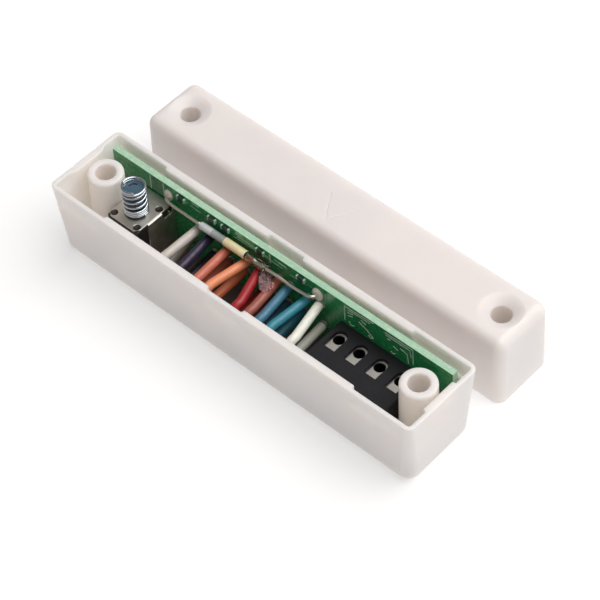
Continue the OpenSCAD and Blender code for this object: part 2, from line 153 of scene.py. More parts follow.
def outline(half_x, half_y, r, z, corner_steps=8, x_stops=(), y_stops=(), extra=0.0):
    """A rounded rectangle. A stop is (place, recessed): the wall there stands extra
    further out where it is recessed, and so do the corners."""
    wide_x, wide_y = half_x + extra, half_y + extra
    turn = [
        (wide_x - r, wide_y - r, 0), (-wide_x + r, wide_y - r, 90),
        (-wide_x + r, -wide_y + r, 180), (wide_x - r, -wide_y + r, 270),
    ]
    walls = [
        [(half_x + extra * recessed, y) for y, recessed in y_stops],
        [(x, half_y + extra * recessed) for x, recessed in reversed(x_stops)],
        [(-half_x - extra * recessed, y) for y, recessed in reversed(y_stops)],
        [(x, -half_y - extra * recessed) for x, recessed in x_stops],
    ]
    flat = []
    for wall, (cx, cy, start) in zip(walls, turn):
        flat += wall + arc((cx, cy), r, start, start + 90, corner_steps)
    return [(x, y, z) for x, y in flat]


def pillow(low, high, edge=0.15, corner=None, steps=3):
    """A block with rounded edges: its corners in plan have a radius of their own."""
    corner = edge if corner is None else corner
    half = (Vector(high) - Vector(low)) / 2
    middle = (Vector(high) + Vector(low)) / 2
    rings = []
    for side in (-1, 1):
        for u, v in arc((0, 0), 1, 0, 90, steps) if side > 0 else arc((0, 0), 1, 90, 0, steps):
            inset = edge * (1 - u)
            rings.append(outline(
                half.x - inset, half.y - inset, max(corner - inset, 0.01),
                side * (half.z - edge * (1 - v)), corner_steps=steps,
            ))
    return moved(loft(rings), middle)


def frames_along(path, side):
    """Each point of a path with its direction and two axes across, carried along without twist."""
    result = []
    u = Vector(side)
    for i, point in enumerate(path):
        t = (path[min(i + 1, len(path) - 1)] - path[max(i - 1, 0)]).normalized()
        u = (u - t * u.dot(t)).normalized()
        result.append((point, t, u, t.cross(u)))
    return result


def tube(path, radius, sides=12, side=(1, 0, 0), round_end=0.0, section=None):
    """A tube along a path, or its section swept along it. round_end is how far its ends bulge."""
    section = section or [(math.cos(TAU * k / sides), math.sin(TAU * k / sides)) for k in range(sides)]
    frames = frames_along([Vector(p) for p in path], side)
    rings = []

    def add(point, u, v, r):
        rings.append([point + u * (r * a) + v * (r * b) for a, b in section])

    for i, (point, t, u, v) in enumerate(frames):
        if round_end and i == 0:
            for c, s in arc((0, 0), 1, 8, 72, 3):
                add(point - t * round_end * c, u, v, radius - round_end * (1 - s))
        add(point, u, v, radius)
        if round_end and i == len(frames) - 1:
            for c, s in arc((0, 0), 1, 72, 8, 3):
                add(point + t * round_end * c, u, v, radius - round_end * (1 - s))
    return loft(rings)


def smooth_path(points, steps=6):
    """A Catmull-Rom curve through points."""
    points = [Vector(p) for p in points]
    padded = [2 * points[0] - points[1], *points, 2 * points[-1] - points[-2]]
    path = []
    for a, b, c, d in zip(padded, padded[1:], padded[2:], padded[3:]):
        for s in range(steps):
            t = s / steps
            path.append(0.5 * (
                2 * b + (c - a) * t + (2 * a - 5 * b + 4 * c - d) * t * t
                + (3 * b - a - 3 * c + d) * t ** 3
            ))
    return path + [points[-1]]


def roughened(shape, amount, size):
    """The same shape with its points pushed about by noise."""
    return [p + amount * noise.noise_vector(p / size) for p in shape[0]], shape[1]


def box(low, high):
    """A sharp-edged block."""
    (a, b, c), (d, e, f) = low, high
    ring = [(a, b, c), (d, b, c), (d, e, c), (a, e, c)]
    return loft([ring, [(x, y, f) for x, y, _ in ring]])


def block(x, half, y, z, edge=0.0, corner=None):
    """A sharp box or a pillow, centred on x, from one value of y and z to the other."""
    low, high = (x - half, y[0], z[0]), (x + half, y[1], z[1])
    return pillow(low, high, edge, corner) if edge else box(low, high)


def cylinder_y(x, z, y, r, sides=24):
    """A cylinder along Y from one value of y to the other."""
    length = y[1] - y[0]
    return lathe_y([(0, 0), (r, 0), (r, length), (0, length)], (x, y[0], z), sides)


def drill(r, bottom, top, chamfer, sides):
    """Cuts a hole up to a flat top. The chamfer is its width, depth and height over the top."""
    width, depth, over = chamfer
    return lathe([(0, bottom), (r, bottom), (r, top - depth), (r + width, top + over),
                  (r + width, top + 1), (0, top + 1)], sides)


# ---- objects ----

def solid(name, shape):
    """A clean mesh object, still in millimetres."""
    points, faces = shape
    mesh = bpy.data.meshes.new(name)
    mesh.from_pydata(points, [], faces)
    bm = bmesh.new()
    bm.from_mesh(mesh)
    bmesh.ops.remove_doubles(bm, verts=bm.verts, dist=2e-4)
    bmesh.ops.dissolve_degenerate(bm, edges=bm.edges, dist=1e-5)
    bmesh.ops.recalc_face_normals(bm, faces=bm.faces)
    bm.to_mesh(mesh)
    bm.free()
    obj = bpy.data.objects.new(name, mesh)
    scene.collection.objects.link(obj)
    return obj


def bake(obj):
    """Applies the modifiers of obj."""
    graph = bpy.context.evaluated_depsgraph_get()
    mesh = bpy.data.meshes.new_from_object(obj.evaluated_get(graph))
    obj.modifiers.clear()
    obj.data = mesh


def combine(obj, operation, shapes):
    """Applies boolean modifiers, one for each shape."""
    for shape in shapes:
        tool = solid("tool", shape)
        step = obj.modifiers.new("combine", "BOOLEAN")
        step.operation = operation
        step.solver = "EXACT"
        step.object = tool
        bake(obj)
        bpy.data.objects.remove(tool)


def join(obj, *shapes):
    """Adds shapes to obj, one after another."""
    combine(obj, "UNION", shapes)


def cut(obj, *shapes):
    """Cuts shapes out of obj, one after another."""
    combine(obj, "DIFFERENCE", shapes)


def bevel(obj, width):
    """Rounds the sharp edges of obj."""
    step = obj.modifiers.new("bevel", "BEVEL")
    step.width = width
    step.segments = 2
    step.limit_method = "ANGLE"
    step.angle_limit = math.radians(50)
    step.use_clamp_overlap = True
    bake(obj)


def settle(obj, looks, nodes=(), body="contact_unit", origin=CONTACT, smooth=38):
    """Turns an object in millimetres into a finished piece that stands for the nodes."""
    obj.data.shade_smooth()
    obj.data.set_sharp_from_angle(angle=math.radians(smooth))
    step = obj.modifiers.new("normals", "WEIGHTED_NORMAL")
    step.keep_sharp = True
    bake(obj)
    obj.data.transform(Matrix.Translation(origin) @ Matrix.Scale(MM, 4))
    obj.data.materials.clear()
    for look in looks if isinstance(looks, (list, tuple)) else [looks]:
        obj.data.materials.append(look)
    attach(obj, body)
    if nodes:
        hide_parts(*nodes)
    return obj


def piece(name, shape, looks, nodes=(), body="contact_unit", origin=CONTACT):
    """A finished piece from a shape."""
    return settle(solid(name, shape), looks, nodes, body, origin)


def paint(obj, choose, origin=CONTACT):
    """Gives each face the look whose number choose(place, normal) returns, place in millimetres."""
    for face in obj.data.polygons:
        face.material_index = choose((face.center - origin) / MM, face.normal)


# ---- materials ----

class Look:
    """One material: a Principled shader, and the detail that is added to it."""

    def __init__(self, name, colour, roughness, metallic=0.0, **constants):
        self.material = bpy.data.materials.new(name)
        self.material.use_nodes = True
        self.tree = self.material.node_tree
        self.shader = self.tree.nodes["Principled BSDF"]
        constants = dict(Base_Color=(*colour, 1), Roughness=roughness, Metallic=metallic) | constants
        for socket, value in constants.items():
            self.shader.inputs[socket.replace("_", " ")].default_value = value
        place = self.tree.nodes.new("ShaderNodeTexCoord").outputs["Object"]
        self.mm = self.vector("SCALE", place, "Scale", 1 / MM)

    def node(self, kind, **values):
        """A node of that kind, with those values on its inputs."""
        node = self.tree.nodes.new("ShaderNode" + kind)
        for socket, value in values.items():
            node.inputs[socket.replace("_", " ")].default_value = value
        return node

    def link(self, a, b):
        self.tree.links.new(a, b)

    def vector(self, operation, vector, socket, value):
        """The vector after an operation with a constant."""
        node = self.node("VectorMath")
        node.operation = operation
        node.inputs[socket].default_value = value
        self.link(vector, node.inputs[0])
        return node.outputs[0]

    def noise(self, size, detail=3.0, stretch=None, rough=0.5):
        """Noise with features of that size in millimetres, drawn out along axes whose stretch
        is below 1."""
        node = self.node("TexNoise", Scale=1 / size, Detail=detail, Roughness=rough)
        place = self.vector("MULTIPLY", self.mm, 1, stretch) if stretch else self.mm
        self.link(place, node.inputs["Vector"])
        return node.outputs["Fac"]

    def height(self):
        """How high the place is above the table, in millimetres."""
        node = self.node("SeparateXYZ")
        self.link(self.mm, node.inputs[0])
        return node.outputs["Z"]

    def cells(self, size):
        """How far the place is from the middle of a cell of that size."""
        node = self.node("TexVoronoi", Scale=1 / size)
        self.link(self.mm, node.inputs["Vector"])
        return node.outputs["Distance"]

    def spread(self, factor, low, high, start=0.3, end=0.7):
        """The factor's range from start to end, stretched to run from low to high."""
        node = self.node("MapRange", From_Min=start, From_Max=end, To_Min=low, To_Max=high)
        self.link(factor, node.inputs["Value"])
        return node.outputs["Result"]

    def mix(self, factor, a, b):
        """a where the factor is 0, b where it is 1. Each is a colour or a socket."""
        node = self.node("Mix")
        node.data_type = "RGBA"
        self.link(factor, node.inputs[0])
        for value, socket in ((a, node.inputs[6]), (b, node.inputs[7])):
            if isinstance(value, tuple):
                socket.default_value = (*value, 1)
            else:
                self.link(value, socket)
        return node.outputs[2]

    def colour(self, socket):
        self.link(socket, self.shader.inputs["Base Color"])

    def rough(self, socket):
        self.link(socket, self.shader.inputs["Roughness"])

    def bump(self, *layers):
        """Layers are (height, distance in millimetres)."""
        below = None
        for height, distance in layers:
            node = self.node("Bump", Distance=distance * MM)
            self.link(height, node.inputs["Height"])
            if below is not None:
                self.link(below, node.inputs["Normal"])
            below = node.outputs["Normal"]
        self.link(below, self.shader.inputs["Normal"])


def shade(colour, factor):
    """The colour made darker or lighter."""
    return tuple(min(c * factor, 1.0) for c in colour)


def moulded_white(name, base, **constants):
    """Slightly translucent white plastic, with a soft grain and a few specks."""
    look = Look(
        name, base, 0.42, IOR=1.5, Subsurface_Weight=1.0,
        Subsurface_Radius=(1.0, 0.9, 0.78), Subsurface_Scale=0.0022, **constants,
    )
    cloud = look.spread(look.noise(9, 2), 0, 1)
    speck = look.spread(look.noise(0.25, 2), 0, 1, 0.62, 0.8)
    tone = look.mix(cloud, shade(base, 0.985), shade(base, 1.015))
    look.colour(look.mix(speck, tone, shade(base, 0.965)))
    look.rough(look.spread(look.noise(1.6, 4), 0.36, 0.48))
    look.bump((look.noise(0.12, 2), 0.0035), (look.noise(3, 2), 0.012))
    return look.material


def board_mask():
    """Green solder mask over a glass weave."""
    base = (0.012, 0.25, 0.075)
    look = Look("board_mask", base, 0.22, IOR=1.5, Coat_Weight=0.25, Coat_Roughness=0.12)
    weave = look.noise(0.35, 2, (1, 1, 2.5))
    cloud = look.spread(look.noise(3.5, 3), 0, 1)
    tone = look.mix(cloud, shade(base, 0.75), (0.018, 0.30, 0.095))
    look.colour(look.mix(look.spread(weave, 0, 0.35), tone, (0.026, 0.33, 0.11)))
    look.rough(look.spread(look.noise(0.8, 3), 0.18, 0.32))
    look.bump((weave, 0.006))
    return look.material


def board_edge():
    """The sawn edge of the board: pale glass fibre in layers."""
    base = (0.42, 0.66, 0.48)
    look = Look(
        "board_edge", base, 0.6, Subsurface_Weight=0.25,
        Subsurface_Radius=(0.4, 1.0, 0.5), Subsurface_Scale=0.0004,
    )
    fibre = look.noise(0.16, 4, (0.25, 1.6, 1), 0.7)
    layer = look.noise(0.2, 1, (0.02, 1, 0.1))
    pale = look.mix(look.spread(fibre, 0, 1), (0.26, 0.50, 0.33), (0.58, 0.77, 0.60))
    worn = look.mix(look.spread(look.noise(0.5, 3), 0, 0.55, 0.5, 0.75), pale, (0.75, 0.86, 0.74))
    look.colour(look.mix(look.spread(layer, 0, 0.6), worn, (0.30, 0.55, 0.36)))
    look.bump((fibre, 0.03))
    return look.material


def plated(name, colour, low, high, stretch=None, grain=0.25, tarnish=0.88):
    """A plated or tinned metal with fine brushing and a slight tarnish."""
    look = Look(name, colour, (low + high) / 2, 1.0)
    brushed = look.noise(grain, 3, stretch, 0.6)
    cloud = look.spread(look.noise(1.4, 3), 0, 1)
    look.colour(look.mix(cloud, shade(colour, tarnish), colour))
    look.rough(look.spread(brushed, low, high))
    look.bump((brushed, 0.004), (look.noise(0.9, 2), 0.01))
    return look.material


def moulded(name, colour, low, high, grain=0.1, depth=0.006, **constants):
    """A small moulded or painted piece with a fine grain."""
    look = Look(name, colour, (low + high) / 2, **constants)
    fine = look.noise(grain, 3)
    cloud = look.spread(look.noise(1.5, 3), 0, 1)
    look.colour(look.mix(cloud, shade(colour, 0.85), shade(colour, 1.12)))
    look.rough(look.spread(look.noise(0.5, 3), low, high))
    look.bump((fine, depth))
    return look.material


# Painted shade on the wires: it darkens them between these heights.
SHADED_HEIGHTS = (5.5, 8.6)    # below the first a wire is at its darkest, above the second at its lightest


def insulation(name, colour):
    """Glossy PVC with faint streaks and rub marks, and painted shade that makes it darker deep down in the
    housing.
    """
    look = Look(
        "wire_" + name, colour, 0.35, IOR=1.52, Subsurface_Weight=0.15,
        Subsurface_Radius=(1, 0.8, 0.8), Subsurface_Scale=0.0002,
    )
    streak = look.noise(0.5, 3, (2.0, 0.35, 0.8))
    rub = look.spread(look.noise(0.35, 4), 0, 0.5, 0.55, 0.75)
    tone = look.mix(look.spread(streak, 0, 1), shade(colour, 0.9), shade(colour, 1.08))
    tone = look.mix(rub, tone, tuple(0.75 * c + 0.08 for c in colour))
    # Painted shade: the colour darkens towards the bottom of the housing, where the lower legs lie in
    # shade.
    depth = look.spread(look.height(), 1, 0, *SHADED_HEIGHTS)
    look.colour(look.mix(depth, tone, tuple(c * (0.28 + 0.45 * c) for c in colour)))
    look.rough(look.spread(look.noise(0.6, 3), 0.26, 0.46))
    look.bump((streak, 0.004), (look.noise(0.12, 2), 0.003))
    return look.material


def clear(name, colour, low, high, ior, ripple, size):
    """Glass or clear adhesive, with smears on it and a ripple in it."""
    look = Look(name, colour, low, IOR=ior, Transmission_Weight=1.0)
    smear = look.noise(0.7, 4)
    look.colour(look.mix(look.spread(smear, 0, 1), colour, shade(colour, 0.93)))
    look.rough(look.spread(smear, low, high))
    look.bump((look.noise(size, 3), ripple))
    return look.material


def ferrite():
    """Pressed ferrite, dark and pitted."""
    base = (0.05, 0.048, 0.05)
    look = Look("magnet", base, 0.55, 0.3)
    grain = look.noise(0.15, 4, (0.3, 1, 1), 0.7)
    pit = look.spread(look.cells(0.6), 0, 1, 0.05, 0.25)
    look.colour(look.mix(look.spread(grain, 0, 1), shade(base, 0.7), (0.12, 0.115, 0.115)))
    look.rough(look.spread(grain, 0.4, 0.7))
    look.bump((pit, 0.02), (grain, 0.02))
    return look.material


def table_top():
    """A white table that is lit up enough to show as pure white."""
    base = (0.61, 0.605, 0.60)
    look = Look("table_top", base, 0.8, Emission_Strength=0.44, Emission_Color=(0.985, 1.0, 1.0, 1))
    look.colour(look.mix(look.noise(40, 2), base, (0.625, 0.62, 0.615)))
    return look.material


WHITE = moulded_white("housing_white", (0.835, 0.78, 0.758))
# Painted light: a lighter, creamier copy of the white plastic with a faint glow, for the inside of the
# contact housing.
PAINTED_GLOW_INSIDE = moulded_white(
    "housing_inside_painted_glow", (0.955, 0.89, 0.84), Emission_Color=(1, 0.89, 0.81, 1), Emission_Strength=0.055,
)
# Painted light: a copy of the white plastic with a faint warm glow, for the rims and the screw bores.
PAINTED_GLOW_EDGES = moulded_white(
    "housing_edges_painted_glow", (0.86, 0.80, 0.765), Emission_Color=(1, 0.87, 0.75, 1), Emission_Strength=0.025,
)
# Painted shade: the inner floor of the contact housing is drawn near-black for the shade that falls there.
PAINTED_SHADE_FLOOR = moulded("housing_floor_painted_shade", (0.10, 0.075, 0.068), 0.5, 0.65, 0.25, 0.01)
MASK, EDGE = board_mask(), board_edge()
TRACK = moulded("board_track", (0.03, 0.20, 0.075), 0.18, 0.3, depth=0.003, Coat_Weight=0.5)
SILK = moulded("board_silk", (0.60, 0.78, 0.64), 0.5, 0.7)
DULL_SOLDER = moulded("solder_dull", (0.66, 0.64, 0.54), 0.35, 0.55, 0.3, 0.02)
PALE = moulded("board_pale", (0.28, 0.50, 0.34), 0.35, 0.5)
PATCH = moulded("board_patch", (0.05, 0.22, 0.10), 0.25, 0.4, Coat_Weight=0.4)
# Pale pink and partly clear: painted highlights on the adhesive.
GLUE_HIGHLIGHT = moulded(
    "glue_painted_highlight", (0.97, 0.66, 0.67), 0.1, 0.25, 0.3, 0.01, IOR=1.3, Transmission_Weight=0.86,
)
SOLDER = plated("solder", (0.66, 0.66, 0.62), 0.28, 0.5, grain=0.4)
TIN = plated("pin_tin", (0.76, 0.76, 0.73), 0.2, 0.4)
CHIP = moulded("chip_film", (0.018, 0.035, 0.024), 0.25, 0.4)
GLASS = clear("glass", (0.93, 0.98, 0.95), 0.01, 0.06, 1.5, 0.004, 0.8)
FROST = moulded("glass_frosted", (0.60, 0.64, 0.64), 0.18, 0.35, 0.3, 0.02, Coat_Weight=0.6)
DULL = moulded("glass_dull", (0.33, 0.37, 0.36), 0.2, 0.4, 0.3, 0.02, Coat_Weight=0.6)
GLUE = clear("glue", (1.0, 0.975, 0.97), 0.12, 0.3, 1.27, 0.03, 0.9)
REED_METAL = plated("reed_metal", (0.74, 0.70, 0.60), 0.25, 0.4, (0.2, 1, 1))
BAND = moulded("band_cream", (0.83, 0.74, 0.44), 0.3, 0.45, 0.2, 0.01)
BLACK = moulded("switch_black", (0.012, 0.012, 0.012), 0.4, 0.55)
SATIN = plated("switch_metal", (0.60, 0.575, 0.52), 0.3, 0.46, (0.25, 1.5, 1))
OLIVE = plated("switch_side", (0.66, 0.62, 0.53), 0.38, 0.5, (1, 0.6, 0.6), 0.9, 0.8)
RIVET = moulded("switch_rivet", (0.018, 0.013, 0.009), 0.3, 0.5)
DOME_STEEL = plated("dome_steel", (0.7, 0.7, 0.69), 0.15, 0.3)
ZINC = plated("spring_steel", (0.70, 0.76, 0.82), 0.1, 0.24, grain=0.5)
BUTTON = moulded("plunger", (0.055, 0.11, 0.155), 0.28, 0.42, 0.3, 0.01)
SLOT_SHADE = moulded("plunger_slot_painted_shade", (0.006, 0.009, 0.012), 0.5, 0.6)
# Painted shade: a near-black copy of the terminal metal, for the parts inside the block.
SHADED_METAL = plated("terminal_metal_painted_shade", (0.05, 0.048, 0.045), 0.5, 0.65)
TERMINAL = moulded(
    "terminal_black", (0.008, 0.0075, 0.010), 0.5, 0.65, 0.08, 0.008, Specular_IOR_Level=0.3,
)
CLAMP = plated("terminal_metal", (0.50, 0.475, 0.445), 0.36, 0.56, (1, 0.3, 1))
FERRITE = ferrite()
AMBER = clear("magnet_glue", (0.85, 0.70, 0.42), 0.1, 0.3, 1.48, 0.05, 0.5)
WIRE_COLOURS = {
    "grey": (0.57, 0.53, 0.48), "violet": (0.026, 0.018, 0.050), "salmon": (0.56, 0.16, 0.10),
    "orange": (0.80, 0.28, 0.13), "red": (0.36, 0.016, 0.022), "brown": (0.34, 0.10, 0.07),
    "blue": (0.055, 0.18, 0.27), "teal": (0.03, 0.23, 0.30), "white": (0.82, 0.82, 0.74),
}
PVC = {name: insulation(name, colour) for name, colour in WIRE_COLOURS.items()}

# ---- contact housing ----

half_l, half_w, contact_h = half_size("contact_housing")
RIM_ROUND = 0.16
FACE_FILLET = 2.0
DRAFT = 0.45
RIM_CORNER = 1.1
WALL = 1.2
PAD_STEP = 0.5           # how much thinner the wall is beside the pads
PAD_H = 3.0
PAD_X = (3.25, 23.0)
END_PAD_Y = 3.0
PAD_RAMP = 0.1           # half the width of the slope at the side of a pad
FLOOR = 1.4
FLOOR_FILLET = 0.5
END_RAMP = 0.4           # how much wider the slopes are on the end with the knock-out
END_LEDGE_DROP = 0.8     # how much deeper the recess beside that pad is
POST_X = 29.1
POST_R = (2.75, 2.65)    # at its foot and at its top
BORE_R = 1.5
SINK_R = 2.6             # of the countersink in the face
SINK_SLOPE = 0.65        # its depth as a share of its width
KNOCKOUT_R = 2.275       # of the groove's round bottom
KNOCKOUT_DEPTH = 4.5     # from the rim down to the middle of that round
GROOVE_R = 0.26          # of the groove's own section


def pad_stops(edges):
    """The points where a wall goes from recess to pad and back, for +- symmetric pads."""
    stops = []
    recessed = True
    for edge in edges:
        stops += [(edge - PAD_RAMP, recessed), (edge + PAD_RAMP, not recessed)]
        recessed = not recessed
    return stops


X_STOPS = pad_stops([-PAD_X[1], -PAD_X[0], PAD_X[0], PAD_X[1]])
Y_STOPS = pad_stops([-END_PAD_Y, END_PAD_Y])


def shell_ring(half_x, half_y, r, z, extra=0.0):
    """One level of the housing. The pad on the knock-out end has gentler slopes."""
    ring = []
    for x, y, z in outline(half_x, half_y, r, z, 8, X_STOPS, Y_STOPS, extra):
        if x < 0 and abs(abs(y) - END_PAD_Y) < 2 * PAD_RAMP:
            y += math.copysign(END_RAMP, y) * (1 if abs(y) > END_PAD_Y else -1)
        ring.append((x, y, z))
    return ring


def contact_shell_rings():
    """From the middle of the face up the outside, over the rim and down the inside."""
    rings = []
    for u, v in arc((0, 0), 1, -90, 0, 8):
        inset = DRAFT + FACE_FILLET * (1 - u)
        z = FACE_FILLET * (1 + v)
        rings.append(shell_ring(half_l - inset, half_w - inset, max(FACE_FILLET * u, 0.02), z))
    for share in (0.35, 0.7):
        z = FACE_FILLET + (contact_h - FACE_FILLET) * share
        inset = DRAFT * (1 - share)
        r = FACE_FILLET + (RIM_CORNER - FACE_FILLET) * share
        rings.append(shell_ring(half_l - inset, half_w - inset, r, z))
    for u, v in arc((0, 0), RIM_ROUND, 0, 90, 3):
        inset = RIM_ROUND - u
        rings.append(shell_ring(
            half_l - inset, half_w - inset, RIM_CORNER - inset, contact_h - RIM_ROUND + v,
        ))
    inner = (half_l - WALL, half_w - WALL)
    corner = RIM_CORNER - WALL
    for u, v in arc((0, 0), RIM_ROUND, 90, 0, 3):
        back = RIM_ROUND - u
        rings.append(shell_ring(
            inner[0] + back, inner[1] + back, corner + PAD_STEP + back,
            contact_h - RIM_ROUND + v, PAD_STEP,
        ))
    rings.append(shell_ring(*inner, corner + PAD_STEP, contact_h - PAD_H, PAD_STEP))
    ledge = shell_ring(*inner, corner + 0.2, contact_h - PAD_H - 0.1)
    rings.append([(x, y, z - END_LEDGE_DROP * (x < 0.1 - inner[0])) for x, y, z in ledge])
    for u, v in arc((0, 0), FLOOR_FILLET, 0, -90, 4):
        inset = FLOOR_FILLET - u
        rings.append(shell_ring(
            inner[0] - inset, inner[1] - inset, corner + 0.2, FLOOR + FLOOR_FILLET + v,
        ))
    return rings


def post(foot_z, top_z, radii, top_round=0.35):
    """A post with a rounded top edge. Its bore is cut later."""
    profile = [(0, foot_z), (radii[0], foot_z)]
    profile += [
        (radii[1] - top_round + u, top_z - top_round + v)
        for u, v in arc((0, 0), top_round, 0, 90, 4)
    ]
    return lathe(profile + [(0, top_z)], 64)


def bore_tool(top, mouth=0.28):
    """Screw hole from the face, where it is countersunk, up to a round mouth at the top."""
    profile = [(0, -1), (SINK_R + 1 / SINK_SLOPE, -1), (BORE_R, (SINK_R - BORE_R) * SINK_SLOPE)]
    profile += [(BORE_R + mouth - u, top - (mouth - v)) for u, v in arc((0, 0), mouth, 0, 90, 4)]
    return lathe(profile + [(BORE_R + mouth, top + 1), (0, top + 1)], 64)


def knockout_path():
    """The U-shaped groove of the cable break-out on the end wall."""
    top, x = contact_h + 0.5, -half_l + 0.02
    bottom = arc((0, contact_h - KNOCKOUT_DEPTH), KNOCKOUT_R, 180, 360, 16)
    return [(x, -KNOCKOUT_R, top)] + [(x, y, z) for y, z in bottom] + [(x, KNOCKOUT_R, top)]


def at_posts(shape):
    """The shape at both screw posts."""
    return merge(*(moved(shape, (s * POST_X, 0, 0)) for s in (-1, 1)))


def contact_face(place, normal):
    """0 outside, 1 on the floor, painted shade, 2 inside, with a painted glow, 3 on the rim and in the
    bores, with a fainter painted glow.
    """
    skin = WALL - PAD_STEP - 0.1 if place.z > contact_h - PAD_H - 1 else WALL - 0.05
    if normal.z > 0.4 and FLOOR - 0.05 < place.z < FLOOR + 0.45:
        return 1
    if place.z > contact_h - 0.1 or math.hypot(abs(place.x) - POST_X, place.y) < BORE_R + 0.2:
        return 3
    if abs(place.x) < half_l - skin and abs(place.y) < half_w - skin and place.z > FLOOR:
        return 2
    return 0


def contact_shell():
    """The contact unit's open housing, with its two hollow posts."""
    obj = solid("contact_shell", loft(contact_shell_rings()))
    join(obj, at_posts(post(FLOOR / 2, contact_h, POST_R)))
    cut(obj, at_posts(bore_tool(contact_h)))
    cut(obj, tube(knockout_path(), GROOVE_R, 8, (1, 0, 0)))
    looks = [WHITE, PAINTED_SHADE_FLOOR, PAINTED_GLOW_INSIDE, PAINTED_GLOW_EDGES]
    settle(obj, looks, ["contact_housing"], smooth=32)
    paint(obj, contact_face)


contact_shell()

# ---- magnet housing, its magnet and adhesive ----

magnet_half_l, magnet_half_w, magnet_h = half_size("magnet_housing")
MAGNET_CORNER = 1.5
TOP_FILLET = 1.6
MAGNET_DRAFT = 0.2
MAGNET_WALL = 1.3
ROOF = 1.6
FOOT_ROUND = 0.15
ROOF_FILLET = 0.4          # inside, under the roof
DISH_DEPTH = 0.85          # of the dish round a screw hole
DISH_R = 3.3
RIB_HALF = 0.5             # half the thickness of the ribs at the magnet's ends
RIB_GAP = 0.1
DAB_R = 2.4                # of the adhesive at the magnet's ends
ARROW = (2.6, 1.1, -3.0)   # half width, tail and tip of the arrow mark


def magnet_shell_rings():
    """From the foot up the outside to the edge of the flat face."""
    rings = []
    for u, v in arc((0, 0), FOOT_ROUND, -90, 0, 3):
        inset = FOOT_ROUND - u
        rings.append(outline(
            magnet_half_l - inset, magnet_half_w - inset, MAGNET_CORNER - inset, FOOT_ROUND + v, 10,
        ))
    side_top = magnet_h - TOP_FILLET
    for u, v in arc((0, 0), 1, 0, 90, 10):
        inset = MAGNET_DRAFT + TOP_FILLET * (1 - u)
        rings.append(outline(
            magnet_half_l - inset, magnet_half_w - inset,
            max(MAGNET_CORNER - TOP_FILLET * (1 - u), 0.3), side_top + TOP_FILLET * v, 10,
        ))
    return rings


def magnet_hollow_rings():
    """The space under the roof, open at the foot."""
    x, y = magnet_half_l - MAGNET_WALL, magnet_half_w - MAGNET_WALL
    rings = [outline(x + 0.2, y + 0.2, 1.2, -0.2, 6), outline(x, y, 1.0, FOOT_ROUND, 6)]
    for u, v in arc((0, 0), ROOF_FILLET, 0, 90, 4):
        back = ROOF_FILLET - u
        rings.append(outline(x - back, y - back, 1.0, magnet_h - ROOF - ROOF_FILLET + v, 6))
    return rings


def arrow_groove():
    """Two shallow V-section strokes that meet at the tip."""
    tip = Vector((0, ARROW[2], magnet_h))
    section = [(1, 0), (0, 1), (-1, 0), (0, -1)]
    strokes = []
    for s in (-1, 1):
        tail = Vector((s * ARROW[0], ARROW[1], magnet_h))
        beyond = tip + (tip - tail).normalized() * 0.05
        strokes.append(tube([tail, beyond], 0.13, side=(0, 0, 1), section=section))
    return strokes


def dish_tool():
    """The soft conical dish round a screw hole, and the hole itself."""
    edge, bottom, steps = BORE_R + 0.06, magnet_h - DISH_DEPTH, 6
    profile = [(0, -1), (BORE_R + 0.2, -1), (BORE_R + 0.2, 0), (BORE_R, 0.25)]
    profile += [(BORE_R, bottom - 0.1), (edge, bottom)]
    for share in (i / steps for i in range(1, steps + 1)):
        rise = 1.18 * share - 0.18 * share ** 4
        profile.append((edge + (DISH_R - BORE_R) * share, bottom + DISH_DEPTH * rise))
    return lathe(profile + [(DISH_R + 0.1, magnet_h + 1), (0, magnet_h + 1)], 72)


def magnet_shell():
    """The magnet unit's housing: hollow, with two posts, two ribs and the arrow mark."""
    obj = solid("magnet_shell", loft(magnet_shell_rings()))
    cut(obj, loft(magnet_hollow_rings()))
    profile = [(0, 0.02), (2.7, 0.02), (2.8, 0.12), (2.85, magnet_h - 1), (0, magnet_h - 1)]
    join(obj, at_posts(lathe(profile, 64)))
    low, high = local_box("magnet_bar", MAGNET)
    reach = magnet_half_w - 1
    join(obj, merge(*(
        block(x, RIB_HALF, (-reach, reach), (low.z - 1, high.z + 0.3), 0.12)
        for x in (low.x - RIB_HALF - RIB_GAP, high.x + RIB_HALF + RIB_GAP)
    )))
    cut(obj, at_posts(dish_tool()))
    cut(obj, *arrow_groove())
    looks = [WHITE, PAINTED_GLOW_EDGES]
    settle(obj, looks, ["magnet_housing"], "magnet_unit", MAGNET, 32)
    # The bores of the magnet housing get the glowing copy: painted light.
    paint(obj, lambda place, normal: int(
        math.hypot(abs(place.x) - POST_X, place.y) < BORE_R + 0.05
    ), MAGNET)


def magnet_pieces():
    """The magnet, and a dab of adhesive at each end of it."""
    low, high = local_box("magnet_bar", MAGNET)
    bar = solid("bar_magnet", roughened(pillow(low, high, 0.3, 0.4, 4), 0.01, 0.8))
    settle(bar, FERRITE, ["magnet_bar"], "magnet_unit", MAGNET)
    low, high = local_box("magnet_glue", MAGNET)
    dome = [(DAB_R * u, high.z - (high.z - low.z) * v) for u, v in arc((0, 0), 1, 0, 90, 10)]
    dabs = []
    for s in (-1, 1):
        x = (low.x + high.x) / 2 + s * ((high.x - low.x) / 2 - DAB_R)
        dabs.append(roughened(moved(lathe([(0, high.z)] + dome, 40), (x, 0, 0)), 0.12, 1.1))
    piece("magnet_adhesive", merge(*dabs), AMBER, ["magnet_glue"], "magnet_unit", MAGNET)


magnet_shell()
magnet_pieces()

# ---- places inside the contact unit, in millimetres ----

